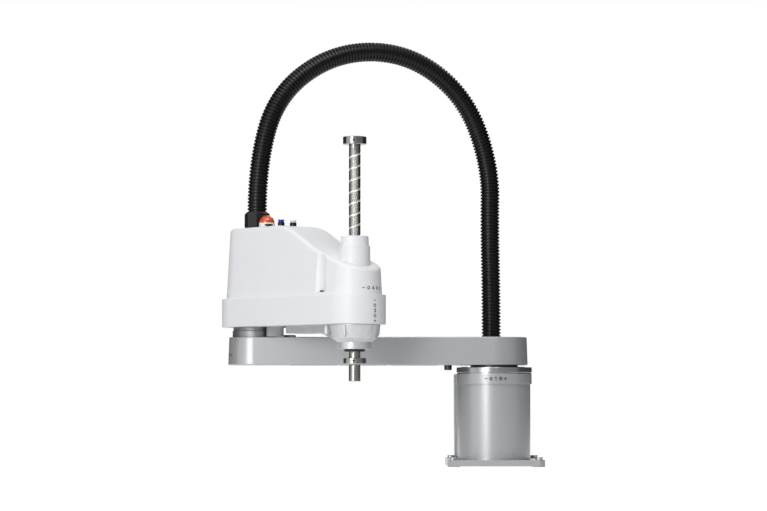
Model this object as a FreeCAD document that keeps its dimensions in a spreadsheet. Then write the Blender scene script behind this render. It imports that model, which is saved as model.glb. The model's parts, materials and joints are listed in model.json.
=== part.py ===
"""Four-axis horizontal-arm assembly robot, 700 mm reach, modelled in millimetres.

The origin is on the axis of joint 1 at the mounting face, +Z up. The base's front faces -Y,
its connector panel +Y. At rest arm 1 points along -X and arm 2 is folded forwards.
Every piece is drawn in the frame of the arm that carries it: u along the arm, v across it.
"""
import FreeCAD, Part
import Sketcher
import math
import os

Vector = FreeCAD.Vector

doc = FreeCAD.newDocument("AssemblyRobot")
sheet = doc.addObject("Spreadsheet::Sheet", "Dimensions")


# A length or an angle together with the sheet formula that gives it

class Size:
    def __init__(self, value, formula):
        self.value = value
        self.formula = formula

    def __add__(self, other):
        return Size(self.value + number(other), f"({self.formula} + {text(other)})")

    def __sub__(self, other):
        return Size(self.value - number(other), f"({self.formula} - {text(other)})")

    def __mul__(self, other):
        return Size(self.value * number(other), f"({self.formula} * {text(other)})")

    def __truediv__(self, other):
        return Size(self.value / number(other), f"({self.formula} / {text(other)})")

    def __radd__(self, other):
        return Size(number(other) + self.value, f"({text(other)} + {self.formula})")

    def __rsub__(self, other):
        return Size(number(other) - self.value, f"({text(other)} - {self.formula})")

    def __rmul__(self, other):
        return Size(number(other) * self.value, f"({text(other)} * {self.formula})")

    def __neg__(self):
        return Size(-self.value, f"(0 - {self.formula})")


def number(size):
    return size.value if isinstance(size, Size) else float(size)


def text(size):
    return size.formula if isinstance(size, Size) else f"({float(size):.9f})"


def sine(angle):
    return Size(math.sin(math.radians(number(angle))), f"sin({text(angle)} * 1 deg)")


def cosine(angle):
    return Size(math.cos(math.radians(number(angle))), f"cos({text(angle)} * 1 deg)")


def arc_sine(ratio):
    return Size(math.degrees(math.asin(number(ratio))), f"(asin({text(ratio)}) / 1 deg)")


def root(size):
    return Size(math.sqrt(number(size)), f"sqrt({text(size)})")


def dimension(name, value):
    row = sheet_rows.setdefault(name, len(sheet_rows) + 1)
    sheet.set(f"A{row}", name)
    sheet.set(f"B{row}", str(value))
    sheet.setAlias(f"B{row}", name)
    return Size(float(value), f"Dimensions.{name}")


sheet_rows = {}

# Reach and pose at rest
arm1_length = dimension("arm1_length", 425)
arm2_length = dimension("arm2_length", 275)
arm1_heading = dimension("arm1_heading", 180)
arm1_draft = dimension("arm1_draft", 2)
arm2_heading = dimension("arm2_heading", -49.3)
j1_limit = dimension("j1_limit", 132)
j2_limit = dimension("j2_limit", 150)
running_gap = dimension("running_gap", 0.3)
slip_gap = dimension("slip_gap", 0.05)

# Base flange and column
flange_half_width = dimension("flange_half_width", 85)
flange_front = dimension("flange_front", 90)
flange_rear = dimension("flange_rear", 118)
flange_corner = dimension("flange_corner", 9)
flange_height = dimension("flange_height", 12)
foot_margin = dimension("foot_margin", 12)
foot_relief = dimension("foot_relief", 1.6)
bolt_spacing = dimension("bolt_spacing", 150)
bolt_hole_radius = dimension("bolt_hole_radius", 4.5)
spot_face_radius = dimension("spot_face_radius", 8)
spot_face_depth = dimension("spot_face_depth", 3)
column_radius = dimension("column_radius", 64)
column_rear = dimension("column_rear", 146)
column_corner = dimension("column_corner", 3)
column_wall = dimension("column_wall", 6)
column_top = dimension("column_top", 163)
rim_step = dimension("rim_step", 2.5)
rear_step = dimension("rear_step", 4)
rear_start = dimension("rear_start", 86)
rim_bottom = dimension("rim_bottom", 144.5)
cavity_floor = dimension("cavity_floor", 18)
cavity_roof = dimension("cavity_roof", 138)

# Rear panel with its screws, sockets, ports and air fittings
panel_thickness = dimension("panel_thickness", 2.5)
panel_bottom = flange_height + 1
panel_top = rim_bottom - 1
panel_screw_radius = dimension("panel_screw_radius", 1.5)
panel_screw_head_radius = dimension("panel_screw_head_radius", 2.75)
panel_screw_head_height = dimension("panel_screw_head_height", 2)
panel_screw_length = dimension("panel_screw_length", 10)
panel_screw_inset = dimension("panel_screw_inset", 8)
connector_height = dimension("connector_height", 48)
connector_offset = dimension("connector_offset", 28)
connector_barrel_radius = dimension("connector_barrel_radius", 13)
connector_flange = dimension("connector_flange", 4)
connector_flange_thickness = dimension("connector_flange_thickness", 3)
connector_reach = dimension("connector_reach", 17)
connector_depth = dimension("connector_depth", 12)
connector_wall = dimension("connector_wall", 2)
port_height = dimension("port_height", 112)
port_offset = dimension("port_offset", 30)
wide_port_half_width = dimension("wide_port_half_width", 19.6)
narrow_port_half_width = dimension("narrow_port_half_width", 15.4)
port_plate_half_height = dimension("port_plate_half_height", 6.2)
port_plate_thickness = dimension("port_plate_thickness", 1.2)
port_ear = dimension("port_ear", 7.5)
port_slant = dimension("port_slant", 1.2)
port_shell_half_height = dimension("port_shell_half_height", 4.2)
port_shell_reach = dimension("port_shell_reach", 6)
port_shell_wall = dimension("port_shell_wall", 0.9)
port_depth = dimension("port_depth", 4.5)
fitting_row_height = dimension("fitting_row_height", 82)
fitting_pitch = dimension("fitting_pitch", 24)
fitting_radius = dimension("fitting_radius", 6)
fitting_height = dimension("fitting_height", 9)
fitting_pocket = dimension("fitting_pocket", 5)
fitting_bore = dimension("fitting_bore", 0.8)
fitting_stem = dimension("fitting_stem", 12)
cover_fitting_stem = dimension("cover_fitting_stem", 6)
ring_wall = dimension("ring_wall", 1.5)
ring_collar = dimension("ring_collar", 1.2)
tube_radius = dimension("tube_radius", 3)

# Joint 1 drive
ring_radius = dimension("ring_radius", 66.8)
ring_top = dimension("ring_top", 174.2)
ring_bore = dimension("ring_bore", 38)
drive_body_radius = dimension("drive_body_radius", 42.5)
output_radius = dimension("output_radius", 42)
motor1_width = dimension("motor1_width", 60)
motor1_length = dimension("motor1_length", 92)
motor_boss_radius = dimension("motor_boss_radius", 25)
motor_shaft_radius = dimension("motor_shaft_radius", 7)
motor_flange = dimension("motor_flange", 6)
motor_cap = dimension("motor_cap", 16)
motor1_shaft_length = dimension("motor1_shaft_length", 32)
motor2_shaft_length = dimension("motor2_shaft_length", 28)
motor3_shaft_length = dimension("motor3_shaft_length", 24)
motor4_shaft_length = dimension("motor4_shaft_length", 38)
motor_corner = dimension("motor_corner", 6)
motor_plate_thickness = dimension("motor_plate_thickness", 8)
wave_generator_height = dimension("wave_generator_height", 9)
output_disc_bottom = ring_top + running_gap
flexspline_radius = ring_bore - running_gap
flexspline_bottom = cavity_roof + 10
flexspline_wall = dimension("flexspline_wall", 3)
output_screw_circle = dimension("output_screw_circle", 30)
output_screw_radius = dimension("output_screw_radius", 2.5)
output_screw_head = dimension("output_screw_head", 4.25)
output_screw_count = 8

# Arm 1
arm1_bottom = dimension("arm1_bottom", 178)
arm1_top = dimension("arm1_top", 227.5)
arm1_shoulder_radius = dimension("arm1_shoulder_radius", 59.5)
arm1_elbow_radius = dimension("arm1_elbow_radius", 47.6)
arm1_edge = dimension("arm1_edge", 1.6)
arm1_roof = dimension("arm1_roof", 9)
arm1_wall = dimension("arm1_wall", 7)
rib_thickness = dimension("rib_thickness", 6)
cell_start = dimension("cell_start", 98)
cell_end = dimension("cell_end", 366)
stop_bolt_reach = dimension("stop_bolt_reach", 82)
stop_bolt_head_radius = dimension("stop_bolt_head_radius", 6.75)
stop_bolt_head_height = dimension("stop_bolt_head_height", 8.6)
stop_boss_radius = dimension("stop_boss_radius", 6)
stop_gap = dimension("stop_gap", 0.6)
stop_bolt_shank = dimension("stop_bolt_shank", 4)
stop_bolt_length = dimension("stop_bolt_length", 24)
top_recess = dimension("top_recess", 5)
cap_radius = dimension("cap_radius", 18)
cap_bevel = dimension("cap_bevel", 1.5)

# Joint 2 drive and stop
reducer_radius = dimension("reducer_radius", 40)
reducer_spigot = dimension("reducer_spigot", 31)
reducer_spigot_depth = dimension("reducer_spigot_depth", 14)
reducer_screw_circle = dimension("reducer_screw_circle", 35.5)
reducer_screw_radius = dimension("reducer_screw_radius", 2)
reducer_screw_head = dimension("reducer_screw_head", 3.5)
reducer_screw_count = 8
reducer_screw_sink = dimension("reducer_screw_sink", 22)
output2_radius = dimension("output2_radius", 28)
stop_clearance = dimension("stop_clearance", 0.5)
arm2_underside = dimension("arm2_underside", 245)
stop_block_inner = dimension("stop_block_inner", 53)
stop_block_outer = dimension("stop_block_outer", 72.5)
stop_block_height = dimension("stop_block_height", 4)
stop_lug_inner = dimension("stop_lug_inner", 50)
stop_lug_outer = dimension("stop_lug_outer", 64)
stop_lug_half_angle = dimension("stop_lug_half_angle", 14)

# Arm 2 covers
band_back_radius = dimension("band_back_radius", 59)
band_front_radius = dimension("band_front_radius", 53)
band_top = dimension("band_top", 295)
cover_wall = dimension("cover_wall", 3)
cover_back_radius = dimension("cover_back_radius", 50.7)
cover_front_radius = dimension("cover_front_radius", 46.5)
cover_draft = dimension("cover_draft", 3)
cover_top = dimension("cover_top", 420)
cover_edge = dimension("cover_edge", 7)
shoulder_start = arm2_length - dimension("shoulder_setback", 167)
shoulder_radius = dimension("shoulder_radius", 115)
shoulder_slope = dimension("shoulder_slope", 29)
hip_start = arm2_length - dimension("hip_setback", 58)
nose_slope = dimension("nose_slope", 21)
nose_end = arm2_length + dimension("nose_run", 70)
channel_reach = arm2_length - dimension("channel_setback", 35)
channel_radius = dimension("channel_radius", 18)
channel_offset = dimension("channel_offset", 58)
channel_floor = dimension("channel_floor", 300)
channel_screw_radius = dimension("channel_screw_radius", 3)
channel_screw_socket = dimension("channel_screw_socket", 1.3)
sleeve_top = cover_top - dimension("sleeve_drop", 25)
sleeve_base_radius = dimension("sleeve_base_radius", 26.8)
sleeve_top_radius = dimension("sleeve_top_radius", 23.4)
sleeve_bore = dimension("sleeve_bore", 20.8)
back_screw_heading = dimension("back_screw_heading", 130)
side_screw_radius = dimension("side_screw_radius", 2.6)
side_screw_height = dimension("side_screw_height", 301)
side_screw_length = dimension("side_screw_length", 6)

# Arm 2 casting and inner frame
deck_bottom = dimension("deck_bottom", 248)
deck_thickness = dimension("deck_thickness", 10)
deck_back_radius = dimension("deck_back_radius", 46)
deck_front_radius = dimension("deck_front_radius", 41.5)
beam_start = dimension("beam_start", 118)
beam_half_width = dimension("beam_half_width", 24)
beam_bottom = dimension("beam_bottom", 232)
bowl_top_radius = dimension("bowl_top_radius", 43)
bowl_low_radius = dimension("bowl_low_radius", 38)
bowl_low_height = dimension("bowl_low_height", 222)
snout_radius = dimension("snout_radius", 28.7)
snout_shoulder = dimension("snout_shoulder", 215)
snout_height = dimension("snout_height", 12)
snout_bottom = snout_shoulder - snout_height
seal_height = dimension("seal_height", 4)
seal_radius = dimension("seal_radius", 17.5)
seal_clearance = dimension("seal_clearance", 0.4)
web_run = dimension("web_run", 26)
boss_pocket = dimension("boss_pocket", 4)
upper_plate_bottom = dimension("upper_plate_bottom", 291)
upper_plate_thickness = dimension("upper_plate_thickness", 10)
upper_plate_start = dimension("upper_plate_start", 90)
upper_plate_back_radius = dimension("upper_plate_back_radius", 38)
upper_plate_front_radius = dimension("upper_plate_front_radius", 34)
motor2_length = dimension("motor2_length", 112)
small_motor_width = dimension("small_motor_width", 56)
motor3_reach = dimension("motor3_reach", 114)
motor3_length = dimension("motor3_length", 92)
motor4_reach = dimension("motor4_reach", 176)
motor4_length = dimension("motor4_length", 66)
brake_radius = dimension("brake_radius", 22)
brake_height = dimension("brake_height", 14)
brake_bore = dimension("brake_bore", 4)
spacer_radius = dimension("spacer_radius", 4)
spacer_offset = dimension("spacer_offset", 31)
spacer_inset = dimension("spacer_inset", 63)
board_thickness = dimension("board_thickness", 1.6)
board_half_width = dimension("board_half_width", 33)
board_height = dimension("board_height", 130)
board_reach = dimension("board_reach", 45)

# Shaft with its two nuts
shaft_radius = dimension("shaft_radius", 10)
shaft_bore = dimension("shaft_bore", 7)
tool_shank = dimension("tool_shank", 27)
shank_relief = dimension("shank_relief", 0.3)
shaft_edge = dimension("shaft_edge", 0.8)
shaft_top = dimension("shaft_top", 564.6)
collar_radius = dimension("collar_radius", 20)
upper_collar_height = dimension("upper_collar_height", 13.2)
lower_collar_height = dimension("lower_collar_height", 10.2)
lower_collar_gap = dimension("lower_collar_gap", 10.8)
set_screw_radius = dimension("set_screw_radius", 2)
set_screw_socket = dimension("set_screw_socket", 1)
set_screw_sink = dimension("set_screw_sink", 2.5)
lower_collar_bottom = snout_bottom - seal_height - lower_collar_gap - lower_collar_height
shaft_bottom = lower_collar_bottom - dimension("shaft_overhang", 29.5)
spline_nut_radius = dimension("spline_nut_radius", 15.5)
spline_nut_bottom = snout_bottom + dimension("lip_thickness", 3.4)
spline_pulley_bottom = dimension("spline_pulley_bottom", 261)
ball_nut_radius = dimension("ball_nut_radius", 17)
ball_pulley_bottom = dimension("ball_pulley_bottom", 276)
ball_nut_top = dimension("ball_nut_top", 340)
bearing_radius = dimension("bearing_radius", 26)
bearing_height = dimension("bearing_height", 26)
ball_bearing_height = dimension("ball_bearing_height", 14)
pulley_height = dimension("pulley_height", 12)
pulley_rim = dimension("pulley_rim", 0.9)
large_pulley_radius = dimension("large_pulley_radius", 28)
small_pulley_radius = dimension("small_pulley_radius", 14)
belt_width = dimension("belt_width", 10)
belt_thickness = dimension("belt_thickness", 2)

# Duct, glands and fittings
duct_radius = dimension("duct_radius", 17.25)
gland_radius = dimension("gland_radius", 22.5)
gland_height = dimension("gland_height", 30)
gland_reach = dimension("gland_reach", 5)
gland_chamfer = dimension("gland_chamfer", 5)
gland_wall = dimension("gland_wall", 3)
stem_radius = duct_radius - dimension("duct_wall", 2.25)
gland_stem = dimension("gland_stem", 30)
duct_rear = dimension("duct_rear", 118)
duct_rear_straight = dimension("duct_rear_straight", 308)
duct_front_straight = dimension("duct_front_straight", 538)
lamp_radius = dimension("lamp_radius", 14)
lamp_base_height = dimension("lamp_base_height", 9)
lamp_reach = dimension("lamp_reach", 42)
lamp_offset = dimension("lamp_offset", -7)
lamp_wire_radius = dimension("lamp_wire_radius", 3)
row_reach = dimension("row_reach", 80)
button_offset = dimension("button_offset", -33)
blue_offset = dimension("blue_offset", -5)
white_offset = dimension("white_offset", 22)
button_stem = dimension("button_stem", 4)
button_radius = dimension("button_radius", 7)
button_travel = dimension("button_travel", 1.5)

doc.recompute()

# Frames: where a piece's own u, v axes lie in the robot's X, Y

BASE = (Size(0.0, "0"), Size(0.0, "0"), Size(0.0, "0"))
ARM1 = (Size(0.0, "0"), Size(0.0, "0"), arm1_heading)
elbow_x = arm1_length * cosine(arm1_heading)
elbow_y = arm1_length * sine(arm1_heading)
ARM2 = (elbow_x, elbow_y, arm2_heading)


def spot(frame, reach, offset):
    """World X and Y of the point at reach and offset in a frame."""
    along = cosine(frame[2])
    across = sine(frame[2])
    x = frame[0] + along * reach - across * offset
    y = frame[1] + across * reach + along * offset
    return x, y


def bind(item, name, size):
    """Give one property its value, by the sheet's formula where it has one."""
    if isinstance(size, Size):
        item.setExpression(name, size.formula)
    else:
        setattr(item, name, size)


def place(item, frame, reach=0.0, offset=0.0):
    x, y = spot(frame, reach, offset)
    # an upright axis is kept only with a turn, so a turn of 0 starts as a very small one
    turn = FreeCAD.Rotation(Vector(0, 0, 1), number(frame[2]) or 0.001)
    item.Placement = FreeCAD.Placement(Vector(), turn)
    item.setExpression("Placement.Base.x", x.formula)
    item.setExpression("Placement.Base.y", y.formula)
    item.setExpression("Placement.Rotation.Angle", frame[2].formula)


# Sketches: each corner and each radius is constrained to the sheet

def new_body(label, frame, reach=0.0, offset=0.0):
    body = doc.addObject("PartDesign::Body", label)
    body.Label = label
    place(body, frame, reach, offset)
    return body


def new_sketch(body, height=0.0, role="XY_Plane"):
    sketch = body.newObject("Sketcher::SketchObject", "Profile")
    plane = [item for item in body.Origin.OriginFeatures if item.Role == role][0]
    sketch.AttachmentSupport = [(plane, "")]
    sketch.MapMode = "FlatFace"
    if number(height):
        sketch.setExpression("AttachmentOffset.Base.z", text(height))
    return sketch


def hold(sketch, kind, size, *geometry):
    """Add one driving constraint, bound to the sheet."""
    index = sketch.addConstraint(Sketcher.Constraint(kind, *geometry, number(size)))
    if isinstance(size, Size):
        sketch.setExpression(f"Constraints[{index}]", size.formula)


def circle(sketch, radius, x=0.0, y=0.0):
    centre = Vector(number(x), number(y), 0)
    index = sketch.addGeometry(Part.Circle(centre, Vector(0, 0, 1), number(radius)), False)
    hold(sketch, "Radius", radius, index)
    hold(sketch, "DistanceX", x, -1, 1, index, 3)
    hold(sketch, "DistanceY", y, -1, 1, index, 3)


def outline(sketch, corners):
    """Closed outline. A corner is (x, y), or (x, y, radius) where an arc leads to the next one.

    A positive radius turns anticlockwise, a negative one clockwise. An arc is at most a half turn,
    unless a fourth value says that it is more.
    """
    points = [Vector(number(corner[0]), number(corner[1]), 0) for corner in corners]
    lines = []
    for index, corner in enumerate(corners):
        start = points[index]
        end = points[(index + 1) % len(points)]
        if len(corner) == 2:
            lines.append((sketch.addGeometry(Part.LineSegment(start, end), False), 1, 2))
            continue
        radius = abs(number(corner[2]))
        chord = end - start
        rise = math.sqrt(max(radius ** 2 - chord.Length ** 2 / 4, 0.0))
        side = Vector(-chord.y, chord.x, 0).normalize()
        turn_left = number(corner[2]) > 0
        more_than_half = len(corner) == 4 and corner[3]
        if turn_left == more_than_half:
            side = -side
        centre = (start + end) * 0.5 + side * rise
        ends = (start, end) if turn_left else (end, start)
        angles = [math.atan2((point - centre).y, (point - centre).x) for point in ends]
        ring = Part.Circle(centre, Vector(0, 0, 1), radius)
        index_arc = sketch.addGeometry(Part.ArcOfCircle(ring, angles[0], angles[1]), False)
        lines.append((index_arc, 1, 2) if turn_left else (index_arc, 2, 1))
        if rise < 1e-6:
            # a half turn: its ends give the radius, so the centre's level is held instead
            hold(sketch, "DistanceY", corner[1], -1, 1, index_arc, 3)
            continue
        size = corner[2] if turn_left else -corner[2]
        hold(sketch, "Radius", size, index_arc)
    for index, (line, _, tail) in enumerate(lines):
        following, head, _ = lines[(index + 1) % len(lines)]
        sketch.addConstraint(Sketcher.Constraint("Coincident", line, tail, following, head))
    for (line, head, _), corner in zip(lines, corners):
        hold(sketch, "DistanceX", corner[0], -1, 1, line, head)
        hold(sketch, "DistanceY", corner[1], -1, 1, line, head)


def rectangle(sketch, left, right, low, high):
    outline(sketch, [(left, low), (right, low), (right, high), (left, high)])


def hull(sketch, back_radius, front_radius, length):
    """Two round ends on the u axis joined by their tangents."""
    lean = (back_radius - front_radius) / length
    upright = root(1.0 - lean * lean)
    back = (back_radius * lean, back_radius * upright)
    front = (length + front_radius * lean, front_radius * upright)
    outline(sketch, [back + (back_radius, number(lean) > 0), (back[0], -back[1]),
                     (front[0], -front[1], front_radius, number(lean) < 0), front])


def column_shape(sketch, radius, rear, corner):
    """Half round front, straight sides and a rear with rounded corners."""
    outline(sketch, [(-radius, 0.0, radius), (radius, 0.0),
                     (radius, rear - corner, corner), (radius - corner, rear),
                     (corner - radius, rear, corner), (-radius, rear - corner)])


def sector(sketch, inner, outer, half_angle, heading):
    """Part of a flat ring about the origin."""
    low = heading - half_angle
    high = heading + half_angle
    outline(sketch, [(inner * cosine(low), inner * sine(low)),
                     (outer * cosine(low), outer * sine(low), outer),
                     (outer * cosine(high), outer * sine(high)),
                     (inner * cosine(high), inner * sine(high), -inner)])


# Features

used = set()


def group(label, members):
    """Like pieces that share one node, each still a solid of its own."""
    compound = doc.addObject("Part::Compound", label)
    compound.Label = label
    compound.Links = members
    used.update(member.Name for member in members)
    return compound


def pad(body, sketch, length, downwards=False):
    feature = body.newObject("PartDesign::Pad", "Pad")
    feature.Profile = sketch
    bind(feature, "Length", length)
    feature.Reversed = downwards
    return feature


def pocket(body, sketch, depth, upwards=False, both_ways=False):
    feature = body.newObject("PartDesign::Pocket", "Pocket")
    feature.Profile = sketch
    bind(feature, "Length", depth)
    feature.Midplane = both_ways
    feature.Reversed = upwards
    return feature


def revolve(body, sketch):
    feature = body.newObject("PartDesign::Revolution", "Revolution")
    feature.Profile = sketch
    feature.ReferenceAxis = (sketch, ["V_Axis"])
    feature.Angle = 360
    return feature


def turned(label, frame, corners, reach=0.0, offset=0.0):
    """A turned piece from its half profile, given as (radius, height) corners."""
    body = new_body(label, frame, reach, offset)
    sketch = new_sketch(body, role="XZ_Plane")
    outline(sketch, corners)
    revolve(body, sketch)
    return body


def tube(label, frame, bore, radius, bottom, top, reach=0.0, offset=0.0):
    return turned(label, frame, [(bore, bottom), (radius, bottom), (radius, top), (bore, top)],
                  reach, offset)


def prism(label, frame, half_length, half_width, bottom, height, reach=0.0, offset=0.0):
    body = new_body(label, frame, reach, offset)
    sketch = new_sketch(body, bottom)
    rectangle(sketch, -half_length, half_length, -half_width, half_width)
    pad(body, sketch, height)
    return body


def round_edges(body, radius, wanted, kind="PartDesign::Fillet"):
    """Fillet or chamfer the edges that the test wants."""
    doc.recompute()
    tip = body.Tip
    names = [f"Edge{index}" for index, edge in enumerate(tip.Shape.Edges, 1) if wanted(edge)]
    feature = body.newObject(kind, "Edges")
    feature.Base = (tip, names)
    bind(feature, "Size" if kind.endswith("Chamfer") else "Radius", radius)
    return feature


def flat_at(edge, height):
    """Is the whole edge at one height?"""
    box = edge.BoundBox
    return abs(box.ZMin - number(height)) < 1e-4 and abs(box.ZMax - number(height)) < 1e-4


def at_corners(sketch, radius, half_x, half_y):
    for side_x in (-1, 1):
        for side_y in (-1, 1):
            circle(sketch, radius, half_x * side_x, half_y * side_y)


def bolt_circle(sketch, radius, pitch_radius, count, first=0.0):
    for index in range(count):
        heading = first + 360.0 * index / count
        circle(sketch, radius, pitch_radius * cosine(heading), pitch_radius * sine(heading))


# Base

def make_base_casting():
    body = new_body("base_casting", BASE)
    sketch = new_sketch(body)
    side, front, rear, corner = flange_half_width, -flange_front, flange_rear, flange_corner
    outline(sketch, [(corner - side, front), (side - corner, front), (side, front + corner),
                     (side, rear - corner), (side - corner, rear), (corner - side, rear),
                     (-side, rear - corner), (-side, front + corner)])
    pad(body, sketch, flange_height)
    sketch = new_sketch(body, flange_height)
    column_shape(sketch, column_radius, column_rear, column_corner)
    pad(body, sketch, column_top - flange_height)
    sketch = new_sketch(body, rim_bottom)
    column_shape(sketch, column_radius + rim_step, column_rear + rim_step,
                 column_corner + rim_step)
    pad(body, sketch, column_top - rim_bottom)
    # wider rear part that carries the connector panel
    sketch = new_sketch(body, flange_height)
    wide = column_radius + rear_step
    outline(sketch, [(-wide, rear_start), (wide, rear_start),
                     (wide, column_rear - column_corner, column_corner),
                     (wide - column_corner, column_rear),
                     (column_corner - wide, column_rear, column_corner),
                     (-wide, column_rear - column_corner)])
    pad(body, sketch, column_top - flange_height)
    # the foot stands on its four corners
    sketch = new_sketch(body)
    inner = bolt_spacing / 2 - foot_margin
    outline(sketch, [(-side - 1, -inner), (-inner, -inner), (-inner, front - 1), (inner, front - 1),
                     (inner, -inner), (side + 1, -inner), (side + 1, inner), (inner, inner),
                     (inner, rear + 1), (-inner, rear + 1), (-inner, inner), (-side - 1, inner)])
    pocket(body, sketch, foot_relief, upwards=True)
    # cavity for motor and cables, open at the back
    sketch = new_sketch(body, cavity_floor)
    inside = column_radius - column_wall
    outline(sketch, [(-inside, 0.0, inside), (inside, 0.0), (inside, column_rear + 1),
                     (-inside, column_rear + 1)])
    pocket(body, sketch, cavity_roof - cavity_floor, upwards=True)
    sketch = new_sketch(body, column_top)
    circle(sketch, drive_body_radius + slip_gap)
    circle(sketch, stem_radius, 0.0, duct_rear)
    pocket(body, sketch, column_top - cavity_roof + 1)
    # fixing holes with spot faces
    sketch = new_sketch(body, flange_height)
    at_corners(sketch, bolt_hole_radius, bolt_spacing / 2, bolt_spacing / 2)
    pocket(body, sketch, flange_height)
    sketch = new_sketch(body, flange_height)
    at_corners(sketch, spot_face_radius, bolt_spacing / 2, bolt_spacing / 2)
    pocket(body, sketch, spot_face_depth)
    # bosses that stop arm 1 a little past its working range
    sketch = new_sketch(body, column_top)
    reach_sum = stop_bolt_head_radius + stop_boss_radius + stop_gap
    lead = 2 * arc_sine(reach_sum / (2 * stop_bolt_reach))
    for side_sign in (-1, 1):
        heading = -90 + side_sign * (j1_limit + lead)
        circle(sketch, stop_boss_radius, stop_bolt_reach * cosine(heading),
               stop_bolt_reach * sine(heading))
    pad(body, sketch, arm1_bottom - column_top - 2)
    # threaded holes for the panel's screws
    sketch = new_sketch(body, -column_rear, "XZ_Plane")
    for side_x, height in panel_screw_spots():
        circle(sketch, panel_screw_radius + slip_gap, side_x, height)
    pocket(body, sketch, panel_screw_length + 1, upwards=True)
    return body


def panel_screw_spots():
    inset = column_radius - column_wall / 2
    middle = (panel_bottom + panel_top) / 2
    heights = (panel_bottom + panel_screw_inset, middle, panel_top - panel_screw_inset)
    return [(inset * side, height) for side in (-1, 1) for height in heights]


def rear_piece(label, height, offset, corners):
    """A turned piece that stands out of the rear panel; heights in the profile run backwards."""
    body = doc.addObject("PartDesign::Body", label)
    body.Label = label
    sketch = new_sketch(body, role="XZ_Plane")
    outline(sketch, corners)
    revolve(body, sketch)
    body.Placement = FreeCAD.Placement(Vector(), FreeCAD.Rotation(Vector(1, 0, 0), -90))
    body.setExpression("Placement.Base.x", text(offset))
    body.setExpression("Placement.Base.y", (column_rear + panel_thickness).formula)
    body.setExpression("Placement.Base.z", text(height))
    return body


def make_connector_panel():
    body = new_body("connector_panel", BASE)
    sketch = new_sketch(body, -column_rear, "XZ_Plane")
    half = column_radius - 0.5
    rectangle(sketch, -half, half, panel_bottom, panel_top)
    for side_x, height in panel_screw_spots():
        circle(sketch, panel_screw_radius + 2 * slip_gap, side_x, height)
    for side in (-1, 1):
        circle(sketch, connector_barrel_radius + slip_gap, side * connector_offset, connector_height)
    for column in (-1, 0, 1):
        circle(sketch, tube_radius + slip_gap, column * fitting_pitch, fitting_row_height)
    pad(body, sketch, panel_thickness, downwards=True)
    return body


def make_round_connector(label, side):
    """Locking multi-pin socket: barrel through the panel, flange on it and an open mouth."""
    barrel = connector_barrel_radius
    flange = barrel + connector_flange
    mouth = barrel - connector_wall
    mouth_floor = connector_flange_thickness + 1
    return rear_piece(label, connector_height, side * connector_offset,
                      [(0.0, -connector_depth), (barrel, -connector_depth), (barrel, 0.0),
                       (flange, 0.0), (flange, connector_flange_thickness),
                       (barrel, connector_flange_thickness), (barrel, connector_reach),
                       (mouth, connector_reach), (mouth, mouth_floor), (0.0, mouth_floor)])


def port_outline(body, height, middle, half, half_height):
    """Sketch of the slanted outline of a port's shell, at a distance behind the origin."""
    sketch = new_sketch(body, -height, "XZ_Plane")
    low = half - port_slant
    outline(sketch, [(middle - low, port_height - half_height), (middle + low, port_height - half_height),
                     (middle + half, port_height + half_height),
                     (middle - half, port_height + half_height)])
    return sketch


def make_port(label, side, half_width):
    """Flat multi-pin port screwed to the panel."""
    body = new_body(label, BASE)
    face = column_rear + panel_thickness
    middle = side * port_offset
    sketch = new_sketch(body, -face, "XZ_Plane")
    rectangle(sketch, middle - half_width, middle + half_width,
              port_height - port_plate_half_height, port_height + port_plate_half_height)
    pad(body, sketch, port_plate_thickness, downwards=True)
    half = half_width - port_ear
    sketch = port_outline(body, face, middle, half, port_shell_half_height)
    pad(body, sketch, port_shell_reach, downwards=True)
    sketch = port_outline(body, face + port_shell_reach, middle, half - port_shell_wall,
                          port_shell_half_height - port_shell_wall)
    pocket(body, sketch, port_depth, upwards=True)
    return body


def make_panel_screws():
    body = new_body("panel_screws", BASE)
    face = -(column_rear + panel_thickness)
    sketch = new_sketch(body, face, "XZ_Plane")
    for side_x, height in panel_screw_spots():
        circle(sketch, panel_screw_head_radius, side_x, height)
    pad(body, sketch, panel_screw_head_height, downwards=True)
    sketch = new_sketch(body, face, "XZ_Plane")
    for side_x, height in panel_screw_spots():
        circle(sketch, panel_screw_radius, side_x, height)
    pad(body, sketch, panel_screw_length)
    return body


def fitting_profile(bottom, stem):
    """Body of a push-in air fitting, with the pocket for its release ring."""
    top = bottom + fitting_height
    mouth = tube_radius + ring_wall
    return [(fitting_bore, bottom - stem), (tube_radius, bottom - stem), (tube_radius, bottom),
            (fitting_radius, bottom), (fitting_radius, top - 1), (fitting_radius - 1, top),
            (mouth, top), (mouth, top - fitting_pocket), (fitting_bore, top - fitting_pocket)]


def ring_profile(bottom):
    """Release ring: a sleeve with a collar that a finger presses."""
    top = bottom + fitting_height
    inner = tube_radius + 4 * slip_gap
    outer = tube_radius + ring_wall - slip_gap
    return [(inner, top - 3), (outer, top - 3), (outer, top + 1.6),
            (outer + ring_collar, top + 1.6), (outer + ring_collar, top + 4), (inner, top + 4)]


def make_base_fittings():
    bodies = []
    rings = []
    for column in (-1, 0, 1):
        offset = column * fitting_pitch
        bodies.append(rear_piece("fitting", fitting_row_height, offset, fitting_profile(0.0, fitting_stem)))
        rings.append(rear_piece("release_ring", fitting_row_height, offset, ring_profile(0.0)))
    group("base_air_fittings", bodies)
    group("base_release_rings", rings)


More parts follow.
